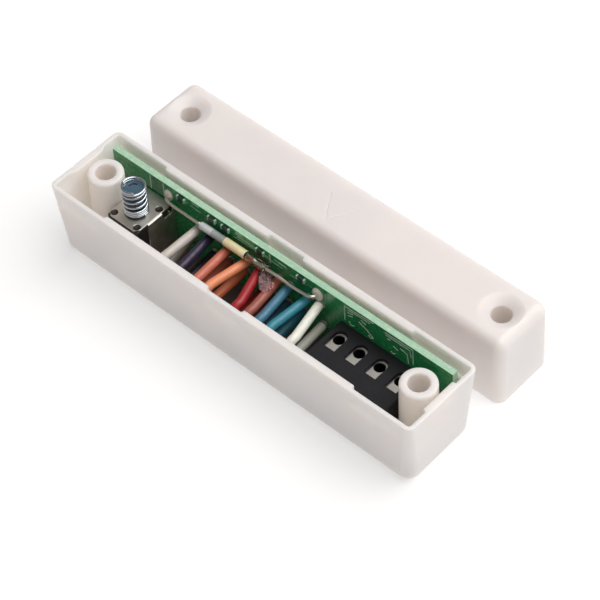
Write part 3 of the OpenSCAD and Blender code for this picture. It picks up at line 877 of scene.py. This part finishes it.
board_low, board_high = local_box("circuit_board")
BOARD_FRONT, BOARD_BACK = board_low.y, board_high.y
PIN_END = BOARD_BACK + 0.35
CORE_START = local_box("link_wire_cores")[0].y
WIRE_BACK, WIRE_FRONT = CORE_START + 0.25, -4.55
WIRE_R = 0.7
CORE_R = 0.3
# Where each link wire leaves the board, turns and comes back, and the heights of its legs
WIRES = {
    "grey": (-14.45, -14.55, -16.9, 9.1, 4.9),
    "violet": (-12.3, -11.6, -12.2, 8.9, 4.9),
    "salmon": (-8.7, -8.3, -9.2, 9.1, 5.6),
    "orange": (-5.0, -6.1, -6.2, 9.1, 5.7),
    "red": (-2.8, -0.8, -2.2, 9.1, 5.2),
    "brown": (0.5, 1.3, -0.2, 9.1, 4.5),
    "blue": (2.5, 3.3, 2.0, 9.1, 4.9),
    "teal": (5.9, 5.4, 4.9, 9.1, 5.4),
    "white": (8.0, 9.3, 8.4, 9.4, 5.2),
}
# Both ends of each wire, as (x, z)
cores = [
    end for x_top, _, x_low, top, low in WIRES.values() for end in ((x_top, top), (x_low, low))
]
glass_low, glass_high = local_box("reed_glass")
REED_Y, REED_Z = (glass_low.y + glass_high.y) / 2, (glass_low.z + glass_high.z) / 2
REED_R = (glass_high.z - glass_low.z) / 2 - 0.1
LEAD_R = 0.25
# Where the reed's two leads go through the board
LEADS = (local_box("reed_lead")[0].x + LEAD_R, local_box("reed_blade_fixed")[1].x - LEAD_R)
base_low, base_high = local_box("switch_base")
SWITCH_X, SWITCH_Y = (base_low.x + base_high.x) / 2, (base_low.y + base_high.y) / 2
SWITCH_HALF = 3.0
LEG_X = 3.2              # how far from the switch's middle its bracket's legs are
cover_low, cover_high = local_box("switch_cover")
PIN_X, PIN_Z, PIN_R = 2.1, 6.3, 0.3
block_low, block_high = local_box("terminal_block_body")
PITCH = (block_high.x - block_low.x) / 4
POLES = [block_low.x + PITCH * (i + 0.5) for i in range(4)]
SCREW_Z = 5.4
TERMINAL_PIN_Z, TERMINAL_PIN_R = 2.6, 0.35
switch_pins = [(SWITCH_X + s * PIN_X, PIN_Z) for s in (-1, 1)]
CHIP_X = (-18.2, -12.2, -9.6, -3.0, 4.6)
CHIP_LENGTH = 1.6

# ---- circuit board ----

def track(points, width, thick=0.035):
    """A raised line on the front of the board, through points (x, z)."""
    path = [(x, BOARD_FRONT, z) for x, z in points]
    half = width / 2
    section = [(0.02, half), (-thick, half * 0.85), (-thick, -half * 0.85), (0.02, -half)]
    return tube(path, 1, side=(0, 1, 0), section=section)


def board():
    """The panel, with a hole for each pin, core, lead and leg."""
    panel = solid("board_panel", pillow(board_low, board_high, 0.05, 0.05, 2))
    holes = [(x, z, CORE_R) for x, z in cores] + [(x, REED_Z, LEAD_R) for x in LEADS]
    holes += [(x, TERMINAL_PIN_Z, TERMINAL_PIN_R) for x in POLES]
    holes += [(x, z, PIN_R) for x, z in switch_pins]
    through = (BOARD_FRONT - 1, BOARD_BACK + 1)
    legs = [block(SWITCH_X + s * LEG_X, 0.25, through, (6.8, 8.0)) for s in (-1, 1)]
    cut(panel, merge(*(cylinder_y(x, z, through, r + 0.1) for x, z, r in holes), *legs))
    settle(panel, [MASK, EDGE], ["circuit_board"])
    paint(panel, lambda place, normal: int(abs(normal.y) <= 0.7))


def board_details():
    """What is on the front of the board: tracks, print, a patch and five chip resistors."""
    tracks = [
        [(-19.6, 12.3), (-17.4, 12.2), (-16.5, 11.5), (-13.5, 11.4)],
        [(2.2, 12.3), (4.0, 12.2), (5.6, 11.4), (7.0, 11.3)], [(9.0, 12.3), (9.0, 9.6)],
        [(-13.6, 12.4), (-10.4, 12.35)], [(26.0, 11.9), (30.2, 11.9)],
        [(-31.0, 11.6), (-27.0, 11.6), (-25.4, 12.3)],
    ]
    piece("board_tracks", merge(*(track(t, 0.28) for t in tracks)), TRACK)
    pale = [
        [(-7.9, 12.25), (-4.4, 11.95), (-1.7, 11.8)], [(-8.3, 11.35), (-2.0, 11.45), (1.0, 11.4)],
        [(-7.6, 11.85), (-2.2, 11.6)], [(2.3, 11.05), (4.2, 11.3), (6.6, 11.45)],
        [(-0.6, 12.2), (1.9, 11.95)], [(-19.2, 11.6), (-16.8, 11.75), (-14.6, 11.6)],
    ]
    piece("board_lines", merge(*(track(t, 0.2) for t in pale)), PALE)
    printed = [
        [(-24.5, 9.8), (-24.5, 12.55)], [(-21.9, 12.6), (-21.9, 9.9)],
        [(12.35, 9.3), (12.35, 12.25), (17.6, 12.6)], [(14.9, 10.9), (16.4, 10.2), (17.5, 9.3)],
        [(13.0, 11.9), (15.0, 12.05), (17.0, 12.1)], [(12.9, 11.3), (13.9, 11.5)],
        [(13.0, 10.7), (13.8, 11.0)], [(13.1, 9.6), (13.5, 9.0), (14.1, 9.3)],
        [(16.6, 9.4), (16.95, 9.0), (17.3, 9.2)], [(15.3, 11.5), (16.2, 11.2)],
        [(19.6, 12.35), (24.5, 12.5), (24.55, 9.5)], [(19.7, 11.95), (24.0, 12.0), (24.2, 10.7)],
        [(22.3, 11.1), (23.5, 10.75), (23.75, 9.0)], [(20.0, 11.3), (20.6, 11.5)],
        [(20.6, 9.2), (21.0, 8.9), (21.4, 9.3)], [(21.0, 10.6), (21.9, 10.3)],
        [(-1.35, 12.6), (-1.35, 10.9)], [(0.4, 12.2), (1.6, 12.1)],
        [(-16.2, 12.6), (-14.9, 12.55)], [(-7.7, 12.6), (-6.6, 12.55)],
    ]
    piece("board_print", merge(*(track(t, 0.21, 0.02) for t in printed)), SILK)
    patch = pillow((-24.4, BOARD_FRONT - 0.02, 9.9), (-22.0, BOARD_FRONT + 0.05, 12.5), 0.01)
    piece("board_patch", patch, PATCH)
    low, high = local_box("chip_resistors")
    bodies, ends = [], []
    for x in CHIP_X:
        bodies.append(block(x, 0.55, (low.y + 0.02, BOARD_FRONT), (low.z + 0.02, high.z - 0.02), 0.05))
        for s in (-1, 1):
            a, b = sorted((x + s * 0.5, x + s * CHIP_LENGTH / 2))
            ends.append(pillow((a, low.y, low.z), (b, BOARD_FRONT, high.z), 0.07))
    piece("chip_bodies", merge(*bodies), CHIP, ["chip_resistors"])
    piece("chip_ends", merge(*ends), PALE)


def solder_cone(x, z, y, side, r, spread=0.45, height=0.42):
    """Solder drawn up round a pin: hollow-sided, wide on the board."""
    profile = [(0, 0.03), (r + spread, 0.03), (r + spread, -0.02)]
    for share in (i / 6 for i in range(1, 7)):
        profile.append((r + 0.03 + spread * (1 - share) ** 2.2, -height * share))
    profile.append((0, -height * 1.02))
    return lathe_y([(a, h * side) for a, h in profile], (x, y, z), 28)


def solder_blob(x, reach, top=0.55, middle=0.2, upright=1.15):
    """A fat, uneven blob where a lead of the reed goes into the board, taller than it is wide."""
    profile = [(0, -0.03), (reach, -0.03)]
    profile += [(middle + (reach - middle) * u, top * v) for u, v in arc((0, 0), 1, 10, 80, 7)]
    profile += [(middle, top + 0.01), (0, top + 0.01)]
    points, faces = lathe_y([(r, -h) for r, h in profile], (0, 0, 0), 32)
    blob = [Vector((p.x, p.y, p.z * upright)) for p in points], faces
    return roughened(moved(blob, (x, BOARD_FRONT, REED_Z + 0.1)), 0.05, 0.6)


def solder():
    """A cone on every pin and core, and a blob on each lead of the reed."""
    joints = [solder_cone(x, z, BOARD_FRONT, 1, CORE_R) for x, z in cores]
    joints += [solder_cone(x, TERMINAL_PIN_Z, BOARD_BACK, -1, TERMINAL_PIN_R) for x in POLES]
    joints += [solder_cone(x, z, BOARD_BACK, -1, PIN_R) for x, z in switch_pins]
    blobs = [solder_blob(x, reach) for x, reach in zip(LEADS, (0.85, 1.0))]
    piece("solder_points", merge(*joints), SOLDER, ["solder_joints"])
    piece("solder_blobs", merge(*blobs), DULL_SOLDER)


# ---- reed switch ----

REED_SEAL = 1.8            # how long the solid glass at each end is
HINGE_X = glass_low.x + REED_SEAL
REED_BORE = 0.5
FROST_LENGTH = 2.65        # of the frosted glass at the left end, before the dull stretch
BAND_X = (-8.85, -4.9)


def reed_face(place, normal):
    """0 clear and 1 or 2 frosted: the outside of the left end, up to the colour band."""
    outside = math.hypot(place.y - REED_Y, place.z - REED_Z) > 0.52
    if outside and place.x < BAND_X[0]:
        return 1 if place.x < glass_low.x + FROST_LENGTH else 2
    return 0


def reed():
    """The glass tube, solid at its ends, and the colour band round it."""
    length = glass_high.x - glass_low.x
    lead = LEAD_R + 0.01
    end = [(lead, 0), (0.33, 0.02), (0.44, 0.14), (0.52, 0.35), (0.57, 0.6), (REED_R, 1.0)]
    outer = end + [(REED_R, FROST_LENGTH), (REED_R, 5.2)] + [(r, length - x) for r, x in reversed(end)]
    inner = [
        (lead, REED_SEAL), (0.34, REED_SEAL + 0.1), (0.48, REED_SEAL + 0.3),
        (REED_BORE, REED_SEAL + 0.6),
    ]
    profile = outer + [(r, length - x) for r, x in inner] + list(reversed(inner))
    tube_glass = lathe_x(profile, (glass_low.x, REED_Y, REED_Z), 40, capped=False)
    glass = piece("reed_tube", tube_glass, [GLASS, FROST, DULL], ["reed_glass"])
    paint(glass, reed_face)
    band_r, thick, width = REED_R + 0.003, 0.05, BAND_X[1] - BAND_X[0]
    ring = [(band_r, 0.1), (band_r, width - 0.1)]
    ring += [(band_r + thick * v, width - 0.1 + 0.1 * u) for u, v in arc((0, 0), 1, 0, 90, 3)]
    ring += [(band_r + thick * v, 0.1 - 0.1 * u) for u, v in arc((0, 0), 1, 90, 0, 3)]
    band = lathe_x(ring, (BAND_X[0], REED_Y, REED_Z), 40, capped=False)
    piece("reed_mark", band, BAND, ["reed_band"])


def reed_metal():
    """Both leads, bent back into the board, and the two blades inside the glass."""
    left, right = LEADS
    y, z = REED_Y, REED_Z
    path = [
        (HINGE_X, y, z), (-15.5, y, z + 0.03), (left + 1.7, y, z + 0.08),
        (left + 0.45, y + 0.25, z + 0.12), (left, BOARD_FRONT - 0.2, z + 0.07), (left, PIN_END, z),
    ]
    shape = tube(smooth_path(path, 8), LEAD_R, 16, round_end=0.06)
    piece("reed_lead_bent", shape, REED_METAL, ["reed_lead"])
    path = [
        (glass_high.x - REED_SEAL - 0.5, y, z), (glass_high.x, y, z), (0.8, y, z + 0.06),
        (3.3, y, z - 0.08), (right - 1.5, y, z + 0.02), (right - 0.4, y + 0.22, z + 0.15),
        (right, BOARD_FRONT - 0.2, z + 0.07), (right, PIN_END, z),
    ]
    low, high = local_box("reed_blade_moving")
    fixed = solid("blade_fixed", tube(smooth_path(path, 8), LEAD_R, 16, round_end=0.06))
    blade = pillow((high.x - 1.4, y + 0.01, z - 0.35),
                   (glass_high.x - REED_SEAL - 0.2, y + 0.16, z + 0.35), 0.04)
    join(fixed, blade)
    settle(fixed, REED_METAL, ["reed_blade_fixed"])
    moving = pillow(low, high, 0.04)
    piece("blade_moving", moving, REED_METAL, ["reed_blade_moving"], "reed_blade")


def adhesive_dab():
    """Adhesive between the end of the glass, the board and the two wires below it."""
    drops = [
        (-1.9, 3.1, 10.25, 0.55), (-1.15, 3.3, 10.15, 0.75), (-0.4, 3.2, 10.2, 0.5),
        (-0.95, 2.4, 9.5, 0.65), (-1.4, 2.2, 10.05, 0.4), (-0.45, 2.2, 10.05, 0.4),
        (-0.93, 2.35, 8.9, 0.6), (-0.9, 2.6, 8.1, 0.58), (-0.87, 3.2, 7.4, 0.5),
    ]
    shapes = []
    for x, y, z, r in drops:
        profile = [(r * math.sin(a), -r * math.cos(a)) for a in (math.pi * i / 12 for i in range(13))]
        shapes.append(moved(lathe(profile, 20), (x, y, z)))
    dab = solid("adhesive_dab", merge(*shapes))
    step = dab.modifiers.new("skin", "REMESH")
    step.mode = "VOXEL"
    step.voxel_size = 0.11
    bake(dab)
    step = dab.modifiers.new("smooth", "SMOOTH")
    step.iterations = 4
    bake(dab)
    for v in dab.data.vertices:
        fold = noise.noise(v.co * 1.4) - abs(noise.noise(v.co * 2.2 + Vector((7, 1, 3))))
        v.co += v.normal * 0.14 * fold
    settle(dab, GLUE, ["glue_dab"], smooth=60)


def adhesive_veil_highlights():
    """A thin crumpled veil of adhesive on the red and brown wires, with short drops on it, all pale pink
    as painted highlights.
    """
    down, across = Vector((0.66, -0.74, -0.06)), Vector((0.7, 0.7, 0.05))
    middle = Vector((-0.15, 1.7, 9.98))
    points, faces = lathe([(0, -0.14)] + arc((0, 0), 0.14, -80, 80, 6) + [(0, 0.14)], 24)
    veil = [middle + down * (p.x * 13.5) + across * (p.y * 6.5) + Vector((0, 0, p.z)) for p in points]
    veil_and_highlights = [roughened((veil, faces), 0.1, 0.5)]
    count = 15
    for i in range(count):
        share = (i + 0.5) / count * 2 - 1
        bend = noise.noise_vector(Vector((i * 2.3, 5.0, 1.0)))
        start = middle + down * (1.6 * share - 0.2) + across * (1.9 * bend.x) + Vector((0, 0, 0.12))
        sway = noise.noise_vector(Vector((i * 1.7, 0.8, 2.0))) * 0.5
        path = [start, start + down * 0.25 + sway * 0.5, start + down * 0.5 + sway]
        veil_and_highlights.append(tube(smooth_path(path, 4), 0.11 + 0.035 * (i % 3), 10, round_end=0.08))
    piece("adhesive_veil_highlights", merge(*veil_and_highlights), GLUE_HIGHLIGHT)


# ---- tamper switch ----

SWITCH_CORNERS = [(sx * 2.25, sy * 2.25) for sx in (-1, 1) for sy in (-1, 1)]    # where its rivets are
BRACKET_TOP = 8.9


def tamper_body():
    """The switch's black base, with a well for the plunger, and its four rivets."""
    x, y = SWITCH_X, SWITCH_Y
    top, rivet_top = cover_low.z, cover_high.z
    half = SWITCH_HALF
    base = solid("tamper_base", block(x, half, (y - half, y + half), (base_low.z, top), 0.12, 0.25))
    well = lathe([(0, 6.55), (2.1, 6.55), (2.1, top + 1), (0, top + 1)], 48)
    notches = []
    for edge in (y - half, y + half):
        reach, rise = (edge - 0.25, edge + 0.25), (base_low.z - 1, base_low.z + 1.6)
        notches.append(block(x, 1, reach, rise, 0.1))
    sockets = [cylinder_y(px, pz, (y + 1.9, y + 4), PIN_R + 0.02) for px, pz in switch_pins]
    cut(base, merge(moved(well, (x, y, 0)), *notches, *sockets))
    settle(base, BLACK, ["switch_base"])
    rivet = lathe([
        (0, top), (0.52, top), (0.52, rivet_top - 0.06), (0.46, rivet_top + 0.03),
        (0.3, rivet_top - 0.02), (0, rivet_top - 0.06),
    ], 28)
    rivets = merge(*(moved(rivet, (x + dx, y + dy, 0)) for dx, dy in SWITCH_CORNERS))
    piece("tamper_rivets", rivets, RIVET)


def plate_outline(x, y, half, back, cut, z):
    """The cover's octagonal outline, with its corners rounded."""
    corners = [
        (-half + cut, -half), (half - cut, -half), (half, -half + cut), (half, back - cut),
        (half - cut, back), (-half + cut, back), (-half, back - cut), (-half, -half + cut),
    ]
    ring = []
    for i, (a, b) in enumerate(corners):
        before, after = Vector(corners[i - 1]), Vector(corners[(i + 1) % 8])
        corner = Vector((a, b))
        start = corner + (before - corner).normalized() * 0.22
        end = corner + (after - corner).normalized() * 0.22
        for k in range(4):
            t = k / 3
            p = start * (1 - t) ** 2 + corner * 2 * t * (1 - t) + end * t * t
            ring.append((x + p.x, y + p.y, z))
    return ring


def tamper_cover():
    """The sheet metal top, with a hole for the plunger and one for each rivet."""
    x, y = SWITCH_X, SWITCH_Y
    low, high, back = cover_low.z, cover_high.z, cover_high.y - y
    cover = solid("tamper_cover", loft([
        plate_outline(x, y, SWITCH_HALF - inset, back - inset, 0.7, z) for inset, z in (
            (0.04, low), (0, low + 0.05), (0, high - 0.08), (0.03, high - 0.03), (0.09, high),
        )
    ]))
    cuts = [drill(1.35, low - 1, high, (0.08, 0.06, 0.02), 48)]
    rivet_hole = drill(0.55, low - 1, high, (0.07, 0.05, 0.01), 28)
    cuts += [moved(rivet_hole, (dx, dy, 0)) for dx, dy in SWITCH_CORNERS]
    cut(cover, moved(merge(*cuts), (x, y, 0)))
    settle(cover, SATIN, ["switch_cover"])


def tamper_bracket():
    """The strip that folds down over the cover's right edge, and the bracket with its legs."""
    x, y, high = SWITCH_X, SWITCH_Y, cover_high.z
    low, back = local_box("switch_bracket")[0].z, local_box("switch_bracket")[1].y
    right = x + 3.35
    fold = (right - 0.36, high - 0.36)
    strap = arc(fold, 0.35, 90, 0, 6) + [(right - 0.01, 9.0), (right - 0.27, 9.0)]
    strap += arc(fold, 0.09, 0, 90, 3)
    front, rear = -1.02, 1.8
    bent = solid("tamper_fold", loft([[(u, along, v) for u, v in strap] for along in (front, rear)]))
    bevel(bent, 0.03)
    settle(bent, SATIN)
    top, cheek_back = BRACKET_TOP, back - 1.4
    side = [
        (-1.1, low), (-1.1, 8.7), (-0.95, top), (1.75, top), (1.95, 8.5), (2.2, 8.25), (3.4, 8.25),
        (3.65, 8.4), (3.8, top), (back - 1.45, top), (cheek_back, 8.8), (cheek_back, low),
    ]
    cheek = solid("tamper_bracket", loft([[(right - t, u, v) for u, v in side] for t in (0.02, 0.28)]))
    joined = [
        pillow((x - 3.35, 1.35, low), (x - 3.05, cheek_back, top), 0.04),
        pillow((x - 3.3, y + 3.1, 6.9), (right - 0.1, y + 3.4, top), 0.04),
    ]
    joined += [block(x + s * LEG_X, 0.14, (back - 2.0, PIN_END), (6.9, 7.9), 0.05) for s in (-1, 1)]
    join(cheek, *joined)
    bevel(cheek, 0.03)
    settle(cheek, OLIVE, ["switch_bracket"])


def tamper_small_parts():
    """The pins at the back of the switch, and the snap dome in its well."""
    x, y = SWITCH_X, SWITCH_Y
    pins = [tube([(px, y + 2, pz), (px, y + 3, pz), (px, PIN_END, pz)], PIN_R, 16, round_end=0.1)
            for px, pz in switch_pins]
    piece("tamper_pins", merge(*pins), TIN, ["switch_pins"])
    low, high = local_box("switch_dome")
    r, rise = (high.x - low.x) / 2, high.z - low.z
    upper = [(r * v, low.z + rise * u) for u, v in arc((0, 0), 1, 0, 90, 10)]
    under = [(max(reach - 0.09, 0), z - 0.07) for reach, z in reversed(upper[:-1])]
    dome = moved(lathe(upper + under, 40), (x, y, 0))
    piece("tamper_dome", dome, DOME_STEEL, ["switch_dome"])


def plunger():
    """The button, with a curved slit in its head and a near-black strip of painted shade at the bottom of
    the slit.
    """
    low, high = local_box("tamper_plunger")
    foot, top = low.z, high.z
    profile = [
        (0, foot), (1.7, foot), (1.75, foot + 0.06), (1.75, foot + 0.34), (1.69, foot + 0.4),
        (1.3, foot + 0.4), (1.25, foot + 0.48), (1.25, top - 0.95), (1.4, top - 0.75),
    ]
    profile += arc((1.4 - 0.16, top - 0.16), 0.16, 0, 80, 4)
    profile += [(1.1, top - 0.01), (1.0, top - 0.1), (0, top - 0.14)]
    button = solid("tamper_button", lathe(profile, 56))
    slit = [(x, y, top - 0.12) for x, y in arc((0, 0), 0.86, 100, 180, 10)]
    cut(button, tube(slit, 0.15, 10, (0, 0, 1), round_end=0.1))
    button.data.transform(Matrix.Translation((SWITCH_X, SWITCH_Y, 0)))
    # Painted shade: a near-black strip at the bottom of the slit stands for the shade in it.
    slot_shade = tube([(x, y, z - 0.06) for x, y, z in slit], 0.14, 10, (0, 0, 1), round_end=0.1)
    slot_shade = moved(slot_shade, (SWITCH_X, SWITCH_Y, 0))
    piece("button_slot_shade", slot_shade, SLOT_SHADE, body="tamper_button")
    settle(button, BUTTON, ["tamper_plunger"], "tamper_button")


def spring():
    """Closed turns at the foot and the head, open turns between them."""
    low, high = local_box("tamper_spring")
    foot, opened, head = 3, 3.3, 1.6     # turns
    wire, tight = 0.19, 0.4              # the wire's radius, and the rise of a closed turn
    radius = (high.x - low.x) / 2 - wire
    rise = high.z - low.z - 2 * wire - (foot + head) * tight
    steps = 32
    path = []
    for i in range(int((foot + opened + head) * steps) + 1):
        t = i / steps
        z = low.z + wire + tight * min(t, foot) + tight * max(t - foot - opened, 0)
        z += rise * min(max(t - foot, 0), opened) / opened
        path.append((SWITCH_X + radius * math.cos(TAU * t), SWITCH_Y + radius * math.sin(TAU * t), z))
    shape = tube(path, wire, 16, (0, 0, 1), round_end=0.05)
    coil = piece("tamper_coil", shape, ZINC, ["tamper_spring"])
    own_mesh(coil)


# ---- terminal block ----

ENTRY_R = 0.97
ENTRY_Y = (-0.42, 1.95)
CAVITY_TOP = 8.1
HEAD_R = 1.25
CAGE_ROOF = 0.5
CAGE_HOLE = (-0.12, 1.78, 0.8)     # how far to the left and back it sits, and its radius


def arch(x, half, front, middle, z):
    """The outline of a wire entry: straight at the front, round at the back."""
    ring = [(x - half, front, z), (x + half, front, z)]
    return ring + [(x + u, v, z) for u, v in arc((0, middle), half, 0, 180, 16)]


def terminal_body():
    """The block, hollowed for each cage, screw and contact, and grooved between its poles."""
    body = solid("terminal_body", pillow(block_low, block_high, 0.1, 0.15))
    low, high = local_box("terminal_cage_1")
    cuts = []
    for x in POLES:
        cuts.append(block(x, 1.35, (low.y - 1.15, high.y + 0.15), (3.0, CAVITY_TOP)))
        cuts.append(loft([
            arch(x, ENTRY_R + wider, ENTRY_Y[0] - wider, ENTRY_Y[1], z) for wider, z in (
                (0, CAVITY_TOP - 0.2), (0, 8.5), (0.07, 8.62), (0.12, 8.95), (0.12, 9.4),
            )
        ]))
        cuts.append(cylinder_y(x, SCREW_Z, (block_low.y - 1, -3.05), 1.4, 40))
        cuts.append(cylinder_y(x, SCREW_Z, (-3.3, low.y), 0.85))
        cuts.append(block(x, 0.85, (1.4, BOARD_FRONT + 1), (2.4, 3.1)))
        cuts.append(cylinder_y(x, TERMINAL_PIN_Z, (BOARD_FRONT - 0.45, BOARD_FRONT + 1), 0.4))
    front, foot = block_low.y, block_low.z
    for x in (block_low.x + PITCH * i for i in range(1, 4)):
        cuts.append(block(x, 0.12, (front - 1, front + 0.25), (foot - 1, 9.5), 0.05))
    cut(body, *cuts)
    settle(body, TERMINAL, ["terminal_block_body"], smooth=32)


def terminal_contacts():
    """For each pole an upright plate, a foot that runs back to the board, and a pin."""
    low, high = local_box("terminal_contacts")
    shapes = []
    for x in POLES:
        shapes.append(block(x, 0.8, (low.y, low.y + 0.3), (low.z, high.z), 0.06))
        shapes.append(block(x, 0.8, (low.y + 0.25, BOARD_FRONT - 0.1), (low.z, low.z + 0.3), 0.06))
        pin = [(x, y, TERMINAL_PIN_Z) for y in (BOARD_FRONT - 0.25, BOARD_FRONT, PIN_END)]
        shapes.append(tube(pin, TERMINAL_PIN_R, 16, round_end=0.12))
    # Painted shade: the plates get the near-black copy of the cage metal, for the shade inside the block.
    piece("terminal_plates", merge(*shapes), SHADED_METAL, ["terminal_contacts"])


def clamp_cage(i, x):
    """A cage with a window for the wire, a round hole in its roof and a hole for its screw, painted
    near-black inside its window as shade.
    """
    low, high = local_box(f"terminal_cage_{i}")
    top = high.z
    cage = solid(f"clamp_box_{i}", pillow(low, high, 0.14, 0.2))
    window = block(x, 0.9, (low.y + 1.95, high.y - 0.35), (low.z - 1, top - CAGE_ROOF), 0.12, 0.25)
    cut(cage, window)
    shift, back, r = CAGE_HOLE
    hole = drill(r, top - 0.8, top, (0.07, 0.1, 0.01), 48)
    cut(cage, moved(hole, (x + shift, back, 0)))
    cut(cage, cylinder_y(x, SCREW_Z, (low.y - 1, low.y + 2.1), 0.83))
    looks, node = [CLAMP, SHADED_METAL], f"terminal_cage_{i}"
    settle(cage, looks, [node], f"clamp_cage_{i}")
    # Painted shade: the faces inside the window get the near-black copy of the metal.
    paint(cage, lambda place, normal: int(
        abs(place.x - x) < 0.92 and low.y + 1.9 < place.y < high.y - 0.3 and place.z < top - 0.12
    ))


def clamp_screw(i, x):
    """A screw with a slotted head, towards the front, and a thread."""
    low, high = local_box(f"terminal_screw_{i}")
    length, edge = high.y - low.y, 0.15
    profile = [(0, 0), (HEAD_R - edge, 0)] + arc((HEAD_R - edge, edge), edge, -60, 0, 2)
    profile += [(HEAD_R, 0.75), (1.2, 0.8), (0.8, 0.8)]
    depth = 0.95
    while depth < length - 0.4:
        profile += [(0.69, depth), (0.8, depth + 0.2)]
        depth += 0.4
    profile += [(0.6, length), (0, length)]
    screw = solid(f"clamp_bolt_{i}", lathe_y(profile, (x, low.y, SCREW_Z), 40))
    cut(screw, block(x, 2, (low.y - 1, low.y + 0.4), (SCREW_Z - 0.2, SCREW_Z + 0.2)))
    settle(screw, CLAMP, [f"terminal_screw_{i}"], f"clamp_screw_{i}")


# ---- link wires ----

def wire_path(x_top, x_front, x_low, top, low):
    """Straight out of the board, a half circle near the front wall, and straight back."""
    bend = (top - low) / 2
    centre_y, centre_z = WIRE_FRONT + bend, (top + low) / 2
    path = []
    for i in range(6):
        t = i / 6
        path.append((x_top + (x_front - x_top) * t, WIRE_BACK + (centre_y - WIRE_BACK) * t, top))
    for i in range(17):
        a = math.pi * i / 16
        path.append((
            x_front + (x_low - x_front) * a / TAU, centre_y - bend * math.sin(a),
            centre_z + bend * math.cos(a),
        ))
    turn_x = (x_front + x_low) / 2
    for i in range(1, 7):
        t = i / 6
        path.append((turn_x + (x_low - turn_x) * t, centre_y + (WIRE_BACK - centre_y) * t, low))
    return path


def stranded(x, z):
    """Twisted strands, seen as a rope with six lobes, from the insulation through the board."""
    rings = []
    count, sides, lobes, twist = 16, 36, 6, 2.2
    for i in range(count + 1):
        t = i / count
        y = CORE_START + (PIN_END - CORE_START) * t
        ring = []
        for k in range(sides):
            a = TAU * k / sides
            r = CORE_R * (0.93 + 0.07 * math.cos(lobes * a)) * (0.8 if i in (0, count) else 1)
            b = a + twist * t
            ring.append((x + r * math.cos(b), y, z + r * math.sin(b)))
        rings.append(ring)
    return loft(rings)


def wires():
    """The nine link wires, and the bare cores at their ends."""
    for name, row in WIRES.items():
        shape = tube(wire_path(*row), WIRE_R, 20, round_end=0.1)
        piece(f"jumper_{name}", shape, PVC[name], [f"link_wire_{name}"])
    strands = merge(*(stranded(x, z) for x, z in cores))
    piece("jumper_strands", strands, TIN, ["link_wire_cores"])


board()
board_details()
solder()
reed()
reed_metal()
adhesive_dab()
adhesive_veil_highlights()
tamper_body()
tamper_cover()
tamper_bracket()
tamper_small_parts()
plunger()
spring()
terminal_body()
terminal_contacts()
for number, pole in enumerate(POLES, 1):
    clamp_cage(number, pole)
    clamp_screw(number, pole)
wires()

# ---- camera, light and table ----

# Angles are in radians and lengths in metres. Azimuth 0 looks along +Y.
CAMERA_AZIMUTH = 0.7863
CAMERA_ELEVATION = 0.8807
CAMERA_ROLL = -0.0658
CAMERA_DISTANCE = 0.33745
CAMERA_TARGET = Vector((-0.00009, 0.000446, 0))
CAMERA_LENS = 142.3


def place_camera():
    """The camera, turned towards its target and rolled a little."""
    sin, cos = math.sin, math.cos
    back = Vector((
        sin(CAMERA_AZIMUTH) * cos(CAMERA_ELEVATION),
        -cos(CAMERA_AZIMUTH) * cos(CAMERA_ELEVATION),
        sin(CAMERA_ELEVATION),
    ))
    level = Vector((cos(CAMERA_AZIMUTH), sin(CAMERA_AZIMUTH), 0))
    tilt = Matrix.Rotation(CAMERA_ROLL, 3, back)
    right = tilt @ level
    up = tilt @ back.cross(level)
    data = bpy.data.cameras.new("camera")
    data.lens = CAMERA_LENS
    data.clip_start = 0.01
    camera = bpy.data.objects.new("camera", data)
    scene.collection.objects.link(camera)
    turn = Matrix((right, up, back)).transposed().to_4x4()
    camera.matrix_world = Matrix.Translation(CAMERA_TARGET + back * CAMERA_DISTANCE) @ turn
    scene.camera = camera


def area_light(name, place, size, power, colour):
    """A round lamp, size metres wide, that faces the origin."""
    data = bpy.data.lights.new(name, "AREA")
    data.shape = "DISK"
    data.size = size
    data.energy = power
    data.color = colour
    light = bpy.data.objects.new(name, data)
    scene.collection.objects.link(light)
    light.location = place
    light.rotation_mode = "QUATERNION"
    light.rotation_quaternion = Vector(place).to_track_quat("Z", "Y")


TABLE_HALF = 3.0
TABLE_DROP = 0.00002      # how far the table is below the faces that stand on it


def stage():
    """Soft light from above, a pale surround and a white table."""
    world = bpy.data.worlds.new("studio")
    world.use_nodes = True
    background = world.node_tree.nodes["Background"]
    background.inputs["Color"].default_value = (1.0, 0.94, 0.915, 1)
    background.inputs["Strength"].default_value = 0.2
    scene.world = world
    scene.view_settings.view_transform = "Standard"
    area_light("key", (0.21, 0.18, 0.66), 0.9, 6.15, (1.0, 0.985, 0.98))
    half = TABLE_HALF
    corners = [(-half, -half, 0), (half, -half, 0), (half, half, 0), (-half, half, 0)]
    mesh = bpy.data.meshes.new("table")
    mesh.from_pydata(corners, [], [(0, 1, 2, 3)])
    mesh.materials.append(table_top())
    table = bpy.data.objects.new("table", mesh)
    scene.collection.objects.link(table)
    table.location.z = -TABLE_DROP


place_camera()
stage()
